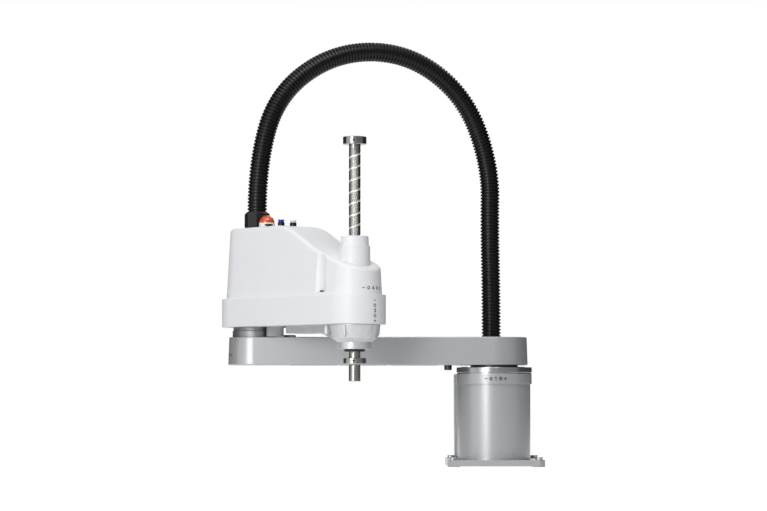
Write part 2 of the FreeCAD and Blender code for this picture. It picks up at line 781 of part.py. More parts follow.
def gland(label, frame, bottom, stem, reach=0.0, offset=0.0):
    """Duct gland: flats, chamfered crown and a stem through the housing."""
    top = bottom + gland_height
    bore = stem_radius - gland_wall
    outer = gland_radius + gland_chamfer / 4
    body = turned(label, frame,
                  [(bore, bottom - stem), (stem_radius - slip_gap, bottom - stem),
                   (stem_radius - slip_gap, bottom), (outer - gland_chamfer, bottom),
                   (outer, bottom + gland_chamfer), (outer, top - gland_chamfer),
                   (outer - gland_chamfer, top), (bore, top)], reach, offset)
    sketch = new_sketch(body, top)
    circle(sketch, outer + gland_chamfer)
    outline(sketch, [(gland_radius * cosine(index * 45 - frame[2]),
                      gland_radius * sine(index * 45 - frame[2])) for index in range(8)])
    pocket(body, sketch, gland_height)
    return body


def motor(label, frame, width, face, length, reach=0.0, upward=True, boss=0.0, shaft=0.0):
    """Servo motor on its flange's face: square body, round encoder cap, boss and shaft."""
    body = new_body(label, frame, reach)
    sign = 1 if upward else -1
    half = width / 2
    flange = motor_flange
    cap = motor_cap
    cut = motor_corner
    sketch = new_sketch(body, face)
    rectangle(sketch, -half, half, -half, half)
    pad(body, sketch, flange, downwards=not upward)
    sketch = new_sketch(body, face + sign * flange)
    outline(sketch, [(cut - half, 1 - half), (half - cut, 1 - half), (half - 1, cut - half),
                     (half - 1, half - cut), (half - cut, half - 1), (cut - half, half - 1),
                     (1 - half, half - cut), (1 - half, cut - half)])
    pad(body, sketch, length - flange - cap, downwards=not upward)
    sketch = new_sketch(body, face + sign * (length - cap))
    circle(sketch, half - 4)
    pad(body, sketch, cap, downwards=not upward)
    for radius, reach_out in ((motor_boss_radius, boss), (motor_shaft_radius, shaft)):
        if number(reach_out):
            sketch = new_sketch(body, face)
            circle(sketch, radius)
            pad(body, sketch, reach_out, downwards=upward)
    return body


def make_base():
    make_base_casting()
    make_connector_panel()
    make_panel_screws()
    group("cable_sockets", [make_round_connector("power", -1), make_round_connector("signal", 1)])
    group("user_ports", [make_port("wide_port", -1, wide_port_half_width),
                         make_port("narrow_port", 1, narrow_port_half_width)])
    make_base_fittings()
    gland("duct_gland_base", BASE, column_top, gland_stem, 0.0, duct_rear)
    # gear unit: polished ring on the column, its body in the column's bore
    seat = column_top
    turned("j1_ring", BASE,
           [(ring_bore, cavity_roof + 8), (drive_body_radius, cavity_roof + 8),
            (drive_body_radius, seat), (ring_radius - 0.8, seat), (ring_radius, seat + 0.8),
            (ring_radius, ring_top - 0.8), (ring_radius - 0.8, ring_top), (ring_bore, ring_top)])
    # motor 1 hangs under the column's roof on an adapter plate
    plate_bottom = cavity_roof - motor_plate_thickness
    tube("j1_motor_plate", BASE, motor_boss_radius + slip_gap, drive_body_radius + 9,
         plate_bottom, cavity_roof)
    motor("j1_motor", BASE, motor1_width, plate_bottom, motor1_length, upward=False,
          boss=motor_plate_thickness - 1, shaft=motor1_shaft_length)


def make_wave_generator(label, frame, bottom, radius, bore):
    """Round cam of a gear unit with its balance holes, on the motor's shaft."""
    body = new_body(label, frame)
    sketch = new_sketch(body, bottom)
    circle(sketch, radius)
    circle(sketch, bore)
    pad(body, sketch, wave_generator_height)
    sketch = new_sketch(body, bottom)
    at_corners(sketch, 2.0, radius * 0.5, radius * 0.5)
    pocket(body, sketch, wave_generator_height, upwards=True)
    return body


# Arm 1

def tangent_half_width(reach, back_radius, front_radius, length):
    """Half width of a tapered arm at a point between its two round ends."""
    lean = (back_radius - front_radius) / length
    return (back_radius - reach * lean) / root(1.0 - lean * lean)


def make_arm1_casting():
    body = new_body("arm1_casting", ARM1)
    sketch = new_sketch(body, arm1_bottom)
    hull(sketch, arm1_shoulder_radius, arm1_elbow_radius, arm1_length)
    feature = pad(body, sketch, arm1_top - arm1_bottom)
    bind(feature, "TaperAngle", -arm1_draft)
    round_edges(body, arm1_edge, lambda edge: flat_at(edge, arm1_top) or flat_at(edge, arm1_bottom))
    # open cells between ribs lighten the underside
    rows = 3
    pitch = (cell_end - cell_start) / rows
    depth = arm1_top - arm1_bottom - arm1_roof
    sketch = new_sketch(body, arm1_bottom)
    for row in range(rows):
        near = cell_start + row * pitch + rib_thickness / 2
        far = cell_start + (row + 1) * pitch - rib_thickness / 2
        near_width = half_width_inside(near)
        far_width = half_width_inside(far)
        for side in (-1, 1):
            middle = side * rib_thickness / 2
            outline(sketch, [(near, middle), (far, middle), (far, side * far_width),
                             (near, side * near_width)])
    pocket(body, sketch, depth, upwards=True)
    # seat of the output disc's screws, sunk in the top face
    sketch = new_sketch(body, arm1_top)
    circle(sketch, output_screw_circle + 7)
    pocket(body, sketch, top_recess)
    sketch = new_sketch(body, arm1_bottom)
    bolt_circle(sketch, output_screw_radius + slip_gap, output_screw_circle, output_screw_count)
    circle(sketch, output_screw_radius + slip_gap, stop_bolt_reach, 0.0)
    pocket(body, sketch, arm1_top - arm1_bottom, upwards=True)
    sketch = new_sketch(body, arm1_bottom)
    circle(sketch, stop_bolt_shank + slip_gap, stop_bolt_reach, 0.0)
    pocket(body, sketch, stop_bolt_length + 1, upwards=True)
    # joint 2: bore for the gear unit and screws from below
    sketch = new_sketch(body, arm1_top)
    circle(sketch, reducer_spigot + slip_gap, arm1_length, 0.0)
    pocket(body, sketch, reducer_spigot_depth)
    sketch = new_sketch(body, arm1_bottom)
    around_elbow(sketch, reducer_screw_radius + slip_gap)
    pocket(body, sketch, arm1_top - arm1_bottom, upwards=True)
    sketch = new_sketch(body, arm1_bottom)
    around_elbow(sketch, reducer_screw_head + 0.5)
    pocket(body, sketch, reducer_screw_sink, upwards=True)
    return body


def half_width_inside(reach):
    outer = tangent_half_width(reach, arm1_shoulder_radius, arm1_elbow_radius, arm1_length)
    return outer - arm1_wall


def around_elbow(sketch, radius):
    for index in range(reducer_screw_count):
        heading = 360.0 * (index + 0.5) / reducer_screw_count
        circle(sketch, radius, arm1_length + reducer_screw_circle * cosine(heading),
               reducer_screw_circle * sine(heading))


def make_arm1():
    make_arm1_casting()
    # output of gear unit 1: a disc that carries the arm, on a thin cup inside the ring
    bore = motor_shaft_radius + 2
    cup = flexspline_radius - flexspline_wall
    turned("j1_output_disc", ARM1,
           [(bore, output_disc_bottom), (bore, arm1_bottom), (output_radius, arm1_bottom),
            (output_radius, output_disc_bottom), (flexspline_radius, output_disc_bottom),
            (flexspline_radius, flexspline_bottom), (cup, flexspline_bottom),
            (cup, output_disc_bottom - 2), (bore, output_disc_bottom - 2)])
    body = new_body("arm1_output_screws", ARM1)
    sketch = new_sketch(body, arm1_top - top_recess)
    bolt_circle(sketch, output_screw_head, output_screw_circle, output_screw_count)
    pad(body, sketch, top_recess - 0.4)
    sketch = new_sketch(body, arm1_top - top_recess)
    bolt_circle(sketch, output_screw_radius, output_screw_circle, output_screw_count)
    pad(body, sketch, arm1_top - top_recess - arm1_bottom, downwards=True)
    sketch = new_sketch(body, arm1_top - 0.4)
    bolt_circle(sketch, 2.0, output_screw_circle, output_screw_count)
    pocket(body, sketch, 2.5)
    seat = arm1_top - top_recess
    turned("arm1_cap", ARM1, [(0.0, seat), (cap_radius, seat), (cap_radius, arm1_top - cap_bevel),
                              (cap_radius - cap_bevel, arm1_top), (0.0, arm1_top)])
    head, head_bottom = stop_bolt_head_radius, arm1_bottom - stop_bolt_head_height
    bolt_top = arm1_bottom + stop_bolt_length
    turned("j1_stop_bolt", ARM1,
           [(0.0, head_bottom), (head - 0.8, head_bottom), (head, head_bottom + 0.8),
            (head, arm1_bottom), (stop_bolt_shank, arm1_bottom), (stop_bolt_shank, bolt_top),
            (0.0, bolt_top)], stop_bolt_reach)
    housing_top = arm2_underside - running_gap
    bore = output2_radius + running_gap
    spigot_bottom = arm1_top - reducer_spigot_depth + 2
    neck = reducer_radius - 1.5
    turned("j2_reducer_housing", ARM1,
           [(bore, spigot_bottom), (reducer_spigot, spigot_bottom), (reducer_spigot, arm1_top),
            (reducer_radius, arm1_top), (reducer_radius, housing_top - 6),
            (neck, housing_top - 5.2), (neck, housing_top), (bore, housing_top)], arm1_length)
    body = new_body("j2_reducer_screws", ARM1)
    sketch = new_sketch(body, arm1_bottom + reducer_screw_sink)
    around_elbow(sketch, reducer_screw_head)
    pad(body, sketch, 4.0, downwards=True)
    sketch = new_sketch(body, arm1_bottom + reducer_screw_sink)
    around_elbow(sketch, reducer_screw_radius)
    pad(body, sketch, arm1_top - arm1_bottom - reducer_screw_sink)
    body = new_body("j2_stop_block", ARM1, arm1_length)
    sketch = new_sketch(body, arm1_top)
    free = 180 - j2_limit - stop_lug_half_angle - stop_clearance
    sector(sketch, stop_block_inner, stop_block_outer, free, 180.0)
    pad(body, sketch, stop_block_height)
    round_edges(body, 0.8, lambda edge: flat_at(edge, arm1_top + stop_block_height),
                "PartDesign::Chamfer")


# Arm 2

def make_arm2_casting():
    """Deck over the gear unit, beam with the stop lug, and the bowl that holds the shaft's bearing."""
    body = new_body("arm2_casting", ARM2)
    sketch = new_sketch(body, deck_bottom)
    hull(sketch, deck_back_radius, deck_front_radius, arm2_length)
    pad(body, sketch, deck_thickness)
    sketch = new_sketch(body, deck_bottom)
    circle(sketch, reducer_radius)
    pad(body, sketch, deck_bottom - arm2_underside, downwards=True)
    sketch = new_sketch(body, beam_bottom)
    rectangle(sketch, beam_start, arm2_length, -beam_half_width, beam_half_width)
    pad(body, sketch, deck_bottom - beam_bottom)
    sketch = new_sketch(body, arm1_top + 2 * running_gap)
    sector(sketch, stop_lug_inner, stop_lug_outer, stop_lug_half_angle, 0.0)
    pad(body, sketch, deck_bottom - arm1_top - 2 * running_gap)
    # bowl and snout round the shaft
    sketch = new_sketch(body, role="XZ_Plane")
    axis = arm2_length
    outline(sketch, [(axis, snout_bottom), (axis + snout_radius, snout_bottom),
                     (axis + snout_radius, snout_shoulder), (axis + bowl_low_radius, bowl_low_height),
                     (axis + bowl_top_radius, arm2_underside - 2), (axis + bowl_top_radius, deck_bottom),
                     (axis, deck_bottom)])
    feature = body.newObject("PartDesign::Revolution", "Bowl")
    feature.Profile = sketch
    feature.ReferenceAxis = (sketch, ["Edge7"])
    feature.Angle = 360
    # webs from the beam down to the bowl
    sketch = new_sketch(body, role="XZ_Plane")
    web_start = arm2_length - bowl_top_radius - web_run
    outline(sketch, [(web_start, beam_bottom + 1), (web_start, beam_bottom),
                     (arm2_length - snout_radius, snout_shoulder + 4),
                     (arm2_length, snout_shoulder + 4), (arm2_length, beam_bottom + 1)])
    web = pad(body, sketch, 2 * beam_half_width - 8)
    web.Midplane = True
    # bores: bearing seat, lip over the seal, gear unit's screws and the motor's boss
    sketch = new_sketch(body, deck_bottom + deck_thickness)
    circle(sketch, bearing_radius + slip_gap, arm2_length, 0.0)
    pocket(body, sketch, deck_bottom + deck_thickness - spline_nut_bottom)
    sketch = new_sketch(body, spline_nut_bottom)
    circle(sketch, seal_radius - 2, arm2_length, 0.0)
    pocket(body, sketch, spline_nut_bottom - snout_bottom)
    sketch = new_sketch(body, deck_bottom + deck_thickness)
    circle(sketch, motor_boss_radius + slip_gap)
    pocket(body, sketch, boss_pocket)
    sketch = new_sketch(body, deck_bottom + deck_thickness)
    circle(sketch, motor_shaft_radius + 2)
    pocket(body, sketch, deck_bottom + deck_thickness - arm2_underside)
    return body


def make_lower_cover():
    body = new_body("arm2_lower_cover", ARM2)
    sketch = new_sketch(body, arm2_underside)
    hull(sketch, band_back_radius, band_front_radius, arm2_length)
    pad(body, sketch, band_top - arm2_underside)
    round_edges(body, 1.0, lambda edge: flat_at(edge, arm2_underside) or flat_at(edge, band_top))
    sketch = new_sketch(body, band_top)
    hull(sketch, deck_back_radius + running_gap, deck_front_radius + running_gap, arm2_length)
    pocket(body, sketch, cover_wall + 1)
    sketch = new_sketch(body, band_top - cover_wall)
    hull(sketch, band_back_radius - cover_wall, band_front_radius - cover_wall, arm2_length)
    pocket(body, sketch, band_top - cover_wall - deck_bottom)
    for shape in ("hub", "beam", "bowl"):
        sketch = new_sketch(body, deck_bottom)
        if shape == "hub":
            circle(sketch, reducer_radius + running_gap)
        elif shape == "beam":
            edge = beam_half_width + running_gap
            rectangle(sketch, 0.0, arm2_length, -edge, edge)
        else:
            circle(sketch, bowl_top_radius + running_gap, arm2_length, 0.0)
        pocket(body, sketch, deck_bottom - arm2_underside)
    return body


def cover_profile(drop):
    """Corners, in u and height, of the space above the top cover, lowered by drop."""
    slope_run = shoulder_radius * sine(shoulder_slope)
    slope_drop = shoulder_radius - shoulder_radius * cosine(shoulder_slope)
    start = shoulder_start
    level = cover_top - drop
    slope_start = start + slope_run
    tangent = sine(shoulder_slope) / cosine(shoulder_slope)
    hip_level = level - slope_drop - (hip_start - slope_start) * tangent
    nose_tangent = sine(nose_slope) / cosine(nose_slope)
    nose_level = hip_level - (nose_end - hip_start) * nose_tangent
    high = cover_top + 60
    back = -band_back_radius - 20
    return [(back, level), (start, level, -shoulder_radius), (slope_start, level - slope_drop),
            (hip_start, hip_level), (nose_end, nose_level), (nose_end, high), (back, high)]


def cover_block(label, inset, drop):
    """Drafted block under the cover's profile; the cover is one block less a smaller one."""
    body = new_body(label, ARM2)
    rise = cover_top + 5 - band_top
    shrink = rise * sine(cover_draft) / cosine(cover_draft)
    low = new_sketch(body, band_top)
    hull(low, cover_back_radius - inset, cover_front_radius - inset, arm2_length)
    high = new_sketch(body, band_top + rise)
    hull(high, cover_back_radius - inset - shrink, cover_front_radius - inset - shrink, arm2_length)
    loft = body.newObject("PartDesign::AdditiveLoft", "Loft")
    loft.Profile = low
    loft.Sections = [(high, [""])]
    loft.Ruled = True
    sketch = new_sketch(body, role="XZ_Plane")
    outline(sketch, cover_profile(drop))
    pocket(body, sketch, 4 * band_back_radius, both_ways=True)
    if number(inset) == 0:
        round_edges(body, cover_edge, on_shoulder)
    sketch = new_sketch(body, channel_floor - inset)
    for side in (-1, 1):
        circle(sketch, channel_radius + inset, channel_reach, side * channel_offset)
    pocket(body, sketch, cover_top - channel_floor + inset + 10, upwards=True)
    return body


def on_shoulder(edge):
    """Is it an edge between the cover's side and its top?"""
    box = edge.BoundBox
    return box.ZMin > number(band_top) + 15 and edge.Length > 12 and not across_the_arm(edge)


def across_the_arm(edge):
    turn = math.radians(number(arm2_heading))
    ends = [edge.valueAt(edge.FirstParameter), edge.valueAt(edge.LastParameter)]
    chord = ends[1] - ends[0]
    along = chord.x * math.cos(turn) + chord.y * math.sin(turn)
    return edge.Curve.TypeId == "Part::GeomLine" and abs(along) < 1.0


def subtract(label, base, tool):
    cut = doc.addObject("Part::Cut", label)
    cut.Label = label
    cut.Base = base
    cut.Tool = tool
    used.update((base.Name, tool.Name))
    return cut


def make_top_cover():
    outer = cover_block("cover_outside", Size(0.0, "0"), Size(0.0, "0"))
    inner = cover_block("cover_inside", cover_wall, cover_wall)
    shell = subtract("cover_shell", outer, inner)
    # openings for shaft, gland, lamp, fittings and button, each with its own clearance
    holes = doc.addObject("Part::MultiFuse", "cover_holes")
    tools = []
    for radius, reach, offset in (
            (sleeve_bore, arm2_length, 0.0), (stem_radius, gland_reach, 0.0),
            (lamp_wire_radius, lamp_reach, lamp_offset), (tube_radius + slip_gap, row_reach, blue_offset),
            (tube_radius + slip_gap, row_reach, white_offset),
            (button_stem + slip_gap, row_reach, button_offset)):
        tool = doc.addObject("Part::Cylinder", "hole")
        tool.setExpression("Radius", text(radius))
        tool.setExpression("Height", text(cover_top - band_top))
        place(tool, ARM2, reach, offset)
        tool.setExpression("Placement.Base.z", text(band_top + 15))
        tools.append(tool)
    for heading in (back_screw_heading, -back_screw_heading):
        tool = doc.addObject("Part::Cylinder", "side_hole")
        tool.setExpression("Radius", text(side_screw_radius + slip_gap))
        tool.setExpression("Height", text(cover_back_radius + 10))
        sideways(tool, heading, 0.0)
        tools.append(tool)
    holes.Shapes = tools
    used.update(tool.Name for tool in tools)
    subtract("arm2_top_cover", shell, holes)


def sideways(item, heading, start):
    """Lay an upright piece down so that it points outwards from joint 2 at a heading."""
    world = arm2_heading + heading
    flat = FreeCAD.Rotation(Vector(0, 0, 1), number(world)) * FreeCAD.Rotation(Vector(0, 1, 0), 90)
    item.Placement = FreeCAD.Placement(Vector(), flat)
    item.setExpression("Placement.Base.x", (elbow_x + start * cosine(world)).formula)
    item.setExpression("Placement.Base.y", (elbow_y + start * sine(world)).formula)
    item.setExpression("Placement.Base.z", side_screw_height.formula)


def make_sleeve():
    body = new_body("shaft_sleeve", ARM2, arm2_length)
    sketch = new_sketch(body, role="XZ_Plane")
    bottom = band_top + 30
    outline(sketch, [(sleeve_bore, bottom), (sleeve_base_radius, bottom),
                     (sleeve_base_radius - 0.6, sleeve_top - 17),
                     (sleeve_top_radius + 0.9, sleeve_top - 16.5),
                     (sleeve_top_radius, sleeve_top - 1), (sleeve_top_radius - 1, sleeve_top),
                     (sleeve_bore, sleeve_top)])
    revolve(body, sketch)
    # its foot follows the cover's slope
    sketch = new_sketch(body, role="XZ_Plane")
    corners = [(corner[0] - arm2_length,) + corner[1:] for corner in cover_profile(0.0)]
    hip, nose = corners[3], corners[4]
    outline(sketch, [hip, (hip[0], bottom - 40), (nose[0], bottom - 40), nose])
    pocket(body, sketch, 4 * band_back_radius, both_ways=True)
    return body


def make_cover_screws():
    channel_screws = []
    back_screws = []
    for side in (-1, 1):
        middle = side * (channel_offset - channel_radius + 4)
        socket, head, head_top = channel_screw_socket, channel_screw_radius, channel_floor + 3
        profile = [(0.0, channel_floor + 1), (socket, channel_floor + 1), (socket, head_top),
                   (head, head_top), (head, channel_floor), (0.0, channel_floor)]
        channel_screws.append(turned("channel_screw", ARM2, profile, channel_reach, middle))
        screw = doc.addObject("Part::Cylinder", "back_screw")
        screw.setExpression("Radius", side_screw_radius.formula)
        screw.setExpression("Height", side_screw_length.formula)
        sideways(screw, side * back_screw_heading, cover_back_radius - side_screw_length)
        back_screws.append(screw)
    group("cover_channel_screws", channel_screws)
    group("cover_back_screws", back_screws)


def make_arm2_fittings():
    top = cover_top
    gland("duct_gland_arm2", ARM2, top, 5.0, gland_reach)
    turned("lamp_base", ARM2, [(0.0, top), (lamp_radius, top), (lamp_radius, top + lamp_base_height),
                               (0.0, top + lamp_base_height)], lamp_reach, lamp_offset)
    lens_bottom = top + lamp_base_height
    lens_radius = lamp_radius - 0.4
    turned("lamp_lens", ARM2, [(0.0, lens_bottom), (lens_radius, lens_bottom, lens_radius),
                               (0.0, lens_bottom + lens_radius)], lamp_reach, lamp_offset)
    for name, offset in (("blue", blue_offset), ("white", white_offset)):
        turned(f"air_fitting_{name}", ARM2, fitting_profile(top, cover_fitting_stem), row_reach, offset)
        turned(f"air_fitting_ring_{name}", ARM2, ring_profile(top), row_reach, offset)
    cap = top + button_travel
    turned("brake_release_button", ARM2,
           [(0.0, top - 8), (button_stem, top - 8), (button_stem, cap), (button_radius, cap),
            (button_radius, cap + 2), (button_radius - 0.6, cap + 2.6), (0.0, cap + 2.6)],
           row_reach, button_offset)


def make_arm2_frame():
    """Inner frame: plate on spacers above the pulleys, with the motors on it."""
    body = new_body("arm2_upper_plate", ARM2, upper_plate_start)
    sketch = new_sketch(body, upper_plate_bottom)
    span = arm2_length - upper_plate_start
    hull(sketch, upper_plate_back_radius, upper_plate_front_radius, span)
    circle(sketch, bearing_radius + slip_gap, span, 0.0)
    for reach in (motor3_reach, motor4_reach):
        circle(sketch, motor_boss_radius + slip_gap, reach - upper_plate_start, 0.0)
    pad(body, sketch, upper_plate_thickness)
    body = new_body("plate_spacers", ARM2)
    sketch = new_sketch(body, deck_bottom + deck_thickness)
    for reach in (upper_plate_start, arm2_length - spacer_inset):
        for side in (-1, 1):
            circle(sketch, spacer_radius, reach, side * spacer_offset)
    pad(body, sketch, upper_plate_bottom - deck_bottom - deck_thickness)
    deck_top = deck_bottom + deck_thickness
    plate_top = upper_plate_bottom + upper_plate_thickness
    motor("j2_motor", ARM2, motor1_width, deck_top, motor2_length, boss=boss_pocket - slip_gap,
          shaft=motor2_shaft_length)
    motor("j3_motor", ARM2, small_motor_width, plate_top, motor3_length, motor3_reach,
          boss=upper_plate_thickness, shaft=motor3_shaft_length)
    motor("j4_motor", ARM2, small_motor_width, plate_top, motor4_length, motor4_reach,
          boss=upper_plate_thickness, shaft=motor4_shaft_length)
    tube("j3_brake", ARM2, brake_bore, brake_radius, plate_top + motor3_length,
         plate_top + motor3_length + brake_height, motor3_reach)
    turned("j2_output_disc", ARM2,
           [(motor_shaft_radius + 2, arm2_underside), (output2_radius, arm2_underside),
            (output2_radius, arm1_top - 9), (output2_radius - 2.5, arm1_top - 9),
            (output2_radius - 2.5, arm2_underside - 3), (motor_shaft_radius + 2, arm2_underside - 3)])
    prism("control_board", ARM2, board_thickness / 2, board_half_width, deck_top, board_height,
          board_reach)
    # seal under the snout and the outer rings that carry the two nuts
    tube("shaft_seal", ARM2, shaft_radius + seal_clearance, seal_radius, snout_bottom - seal_height,
         snout_bottom, arm2_length)
    tube("spline_bearing", ARM2, spline_nut_radius + slip_gap, bearing_radius, spline_nut_bottom,
         spline_nut_bottom + bearing_height, arm2_length)
    tube("ball_nut_bearing", ARM2, ball_nut_radius + slip_gap, bearing_radius,
         upper_plate_bottom, upper_plate_bottom + ball_bearing_height, arm2_length)


# Pulleys and belts

def pulley(label, reach, radius, bore, bottom):
    """Toothed pulley with a rim at its lower and upper edge."""
    body = new_body(label, ARM2, reach)
    sketch = new_sketch(body, bottom)
    circle(sketch, radius)
    circle(sketch, bore)
    pad(body, sketch, pulley_height)
    for level in (bottom, bottom + pulley_height - pulley_rim):
        sketch = new_sketch(body, level)
        circle(sketch, radius + belt_thickness + 0.6)
        circle(sketch, radius - 1)
        pad(body, sketch, pulley_rim)
    return body


def belt(label, reach, bottom):
    """Toothed belt, face to face with its two pulleys."""
    body = new_body(label, ARM2, reach)
    span = arm2_length - reach
    level = bottom + (pulley_height - belt_width) / 2
    sketch = new_sketch(body, level)
    inner = running_gap / 3
    small = small_pulley_radius + inner
    large = large_pulley_radius + inner
    hull(sketch, small + belt_thickness, large + belt_thickness, span)
    hull(sketch, small, large, span)
    pad(body, sketch, belt_width)
    return body


def make_drive():
    shaft = motor_shaft_radius
    pulley("j3_motor_pulley", motor3_reach, small_pulley_radius, shaft + slip_gap, ball_pulley_bottom)
    pulley("j4_motor_pulley", motor4_reach, small_pulley_radius, shaft + slip_gap,
           spline_pulley_bottom)
    pulley("spline_pulley", arm2_length, large_pulley_radius, spline_nut_radius, spline_pulley_bottom)
    pulley("ball_nut_pulley", arm2_length, large_pulley_radius, ball_nut_radius, ball_pulley_bottom)
    belt("j3_belt", motor3_reach, ball_pulley_bottom)
    belt("j4_belt", motor4_reach, spline_pulley_bottom)
    bore = shaft_radius + slip_gap
    tube("spline_nut", ARM2, bore, spline_nut_radius, spline_nut_bottom + running_gap,
         spline_pulley_bottom + pulley_height, arm2_length)
    turned("ball_screw_nut", ARM2,
           [(bore, ball_pulley_bottom), (ball_nut_radius, ball_pulley_bottom),
            (ball_nut_radius, ball_nut_top - 8), (ball_nut_radius + 3, ball_nut_top - 8),
            (ball_nut_radius + 3, ball_nut_top), (bore, ball_nut_top)], arm2_length)


# Shaft and its collars

SHAFT = (*spot(ARM2, arm2_length, 0.0), dimension("shaft_heading", -94.6))


def make_shaft():
    edge = shaft_edge
    shank_top = shaft_bottom + edge + tool_shank
    turned("shaft", ARM2,
           [(shaft_bore, shaft_bottom), (shaft_radius - edge, shaft_bottom),
            (shaft_radius, shaft_bottom + edge), (shaft_radius, shank_top),
            (shaft_radius - shank_relief, shank_top),
            (shaft_radius - shank_relief, lower_collar_bottom), (shaft_radius, lower_collar_bottom),
            (shaft_radius, shaft_top - edge), (shaft_radius - edge, shaft_top),
            (shaft_bore, shaft_top)], arm2_length)
    upper = shaft_top - upper_collar_height
    screws = []
    for name, bottom, height in (("upper", upper, upper_collar_height),
                                 ("lower", lower_collar_bottom, lower_collar_height)):
        body = new_body(f"{name}_collar", SHAFT)
        sketch = new_sketch(body, role="XZ_Plane")
        outline(sketch, [(shaft_radius, bottom), (collar_radius - edge, bottom),
                         (collar_radius, bottom + edge), (collar_radius, bottom + height - edge),
                         (collar_radius - edge, bottom + height), (shaft_radius, bottom + height)])
        revolve(body, sketch)
        # two set screws a quarter turn apart
        middle = bottom + height / 2
        outer_end = collar_radius - set_screw_sink
        for plane, sign in (("YZ_Plane", 1), ("XZ_Plane", -1)):
            outward = sign > 0
            sketch = new_sketch(body, role=plane)
            circle(sketch, set_screw_radius, 0.0, middle)
            pocket(body, sketch, collar_radius + 1, upwards=outward)
            screw = new_body("set_screw", SHAFT)
            sketch = new_sketch(screw, sign * shaft_radius, plane)
            circle(sketch, set_screw_radius - slip_gap, 0.0, middle)
            pad(screw, sketch, outer_end - shaft_radius, downwards=not outward)
            sketch = new_sketch(screw, sign * outer_end, plane)
            circle(sketch, set_screw_socket, 0.0, middle)
            pocket(screw, sketch, set_screw_sink, upwards=not outward)
            screws.append(screw)
    group("collar_set_screws", screws)


# Duct: a tube of straight runs joined by tangent arcs, in two halves that meet at the crown

def duct_path(points):
    """Wire through the route's corners, each rounded as far as its runs allow."""
    edges = []
    last = points[0]
    for before, corner, after in zip(points, points[1:], points[2:]):
        into = (corner - before).normalize()
        out = (after - corner).normalize()
        turn = math.acos(max(-1.0, min(1.0, into.dot(out))))
        run = 0.45 * min((corner - before).Length, (after - corner).Length)
        radius = run / math.tan(turn / 2)
        start = corner - into * run
        end = corner + out * run
        bisector = (out - into).normalize()
        middle = corner + bisector * (radius / math.cos(turn / 2) - radius)
        edges.append(Part.LineSegment(last, start).toShape())
        edges.append(Part.Arc(start, middle, end).toShape())
        print(f"duct arc radius {radius:.0f} mm, turn {math.degrees(turn):.0f} degrees")
        last = end
    edges.append(Part.LineSegment(last, points[-1]).toShape())
    return Part.Wire(edges)


def make_duct():
    """Corrugated duct from the base to the top of arm 2."""
    gland_x, gland_y = spot(ARM2, gland_reach, 0.0)
    front_end = Vector(number(gland_x), number(gland_y), number(cover_top + gland_height))
    rear_end = Vector(0.0, number(duct_rear), number(column_top + gland_height))
    # corners of the route as read from the picture: up from the base, over, and down to arm 2
    rear = [rear_end, Vector(rear_end.x, rear_end.y, number(duct_rear_straight)),
            Vector(-2.5, 117.5, 424), Vector(-1, 117, 545), Vector(-48.6, 104.5, 672),
            Vector(-152.8, 74, 747)]
    front = [Vector(-281.5, 37, 744), Vector(-386.2, 7, 665.5),
             Vector(front_end.x, front_end.y, number(duct_front_straight)), front_end]
    crown = (rear[-1] + front[0]) * 0.5
    halves = duct_halves(duct_path(rear + front), crown)
    for label, edges in zip(("cable_duct_rear", "cable_duct_front"), halves):
        path = Part.Wire(edges)
        start = path.Edges[0].valueAt(path.Edges[0].FirstParameter)
        direction = path.Edges[0].tangentAt(path.Edges[0].FirstParameter)
        ring = Part.Wire([Part.Circle(start, direction, number(duct_radius)).toShape()])
        solid = path.makePipeShell([ring], True, False)
        piece = doc.addObject("Part::Feature", label)
        piece.Label = label
        piece.Shape = solid
        expected = math.pi * number(duct_radius) ** 2 * path.Length
        print(f"{label}: volume over section times length {solid.Volume / expected:.4f}")


def duct_halves(path, crown):
    """The edges of the path before and after the crown, which lies within a straight run."""
    halves = [[], []]
    side = 0
    for edge in path.Edges:
        start = edge.valueAt(edge.FirstParameter)
        end = edge.valueAt(edge.LastParameter)
        if side == 0 and crown.distanceToPoint(start) + crown.distanceToPoint(end) < edge.Length + 1e-4:
            halves[0].append(Part.LineSegment(start, crown).toShape())
            halves[1].append(Part.LineSegment(crown, end).toShape())
            side = 1
        else:
            halves[side].append(edge)
    return halves


# The robot

make_base()
make_wave_generator("j1_wave_generator", BASE, flexspline_bottom + 4, flexspline_radius - 4.5,
                    motor_shaft_radius + slip_gap)
make_arm1()
make_arm2_casting()
make_lower_cover()
make_top_cover()
make_sleeve()
make_cover_screws()
make_arm2_fittings()
make_arm2_frame()
make_drive()
make_wave_generator("j2_wave_generator", ARM2, arm1_top + 1, output2_radius - 4,
                    motor_shaft_radius + slip_gap)
make_shaft()
make_duct()
doc.recompute()

# Checks before anything is written

faults = []
for item in doc.Objects:
    if "Invalid" in item.State or "Error" in item.State:
        faults.append(f"{item.Label} did not compute: {item.State}")
    elif item.isDerivedFrom("PartDesign::Pocket"):
        removed = item.BaseFeature.Shape.Volume - item.Shape.Volume
        if removed < 0.1:
            faults.append(f"{item.Label} of {item.getParentGeoFeatureGroup().Label} cuts nothing")
if faults:
    raise RuntimeError("; ".join(faults))

pieces = [item for item in doc.Objects
          if item.TypeId in ("PartDesign::Body", "Part::Cut", "Part::Compound", "Part::Feature")
          and item.Name not in used]
os.makedirs("parts", exist_ok=True)
for piece in pieces:
    if piece.Shape.isNull() or not piece.Shape.isValid() or piece.Shape.Volume < 1.0:
        raise RuntimeError(f"{piece.Label} has no valid solid")
    piece.Shape.exportStep(f"parts/{piece.Label}.step")
print(len(pieces), "pieces written")
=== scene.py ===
import json
import math

import bmesh
import bpy
from mathutils import Matrix, Vector


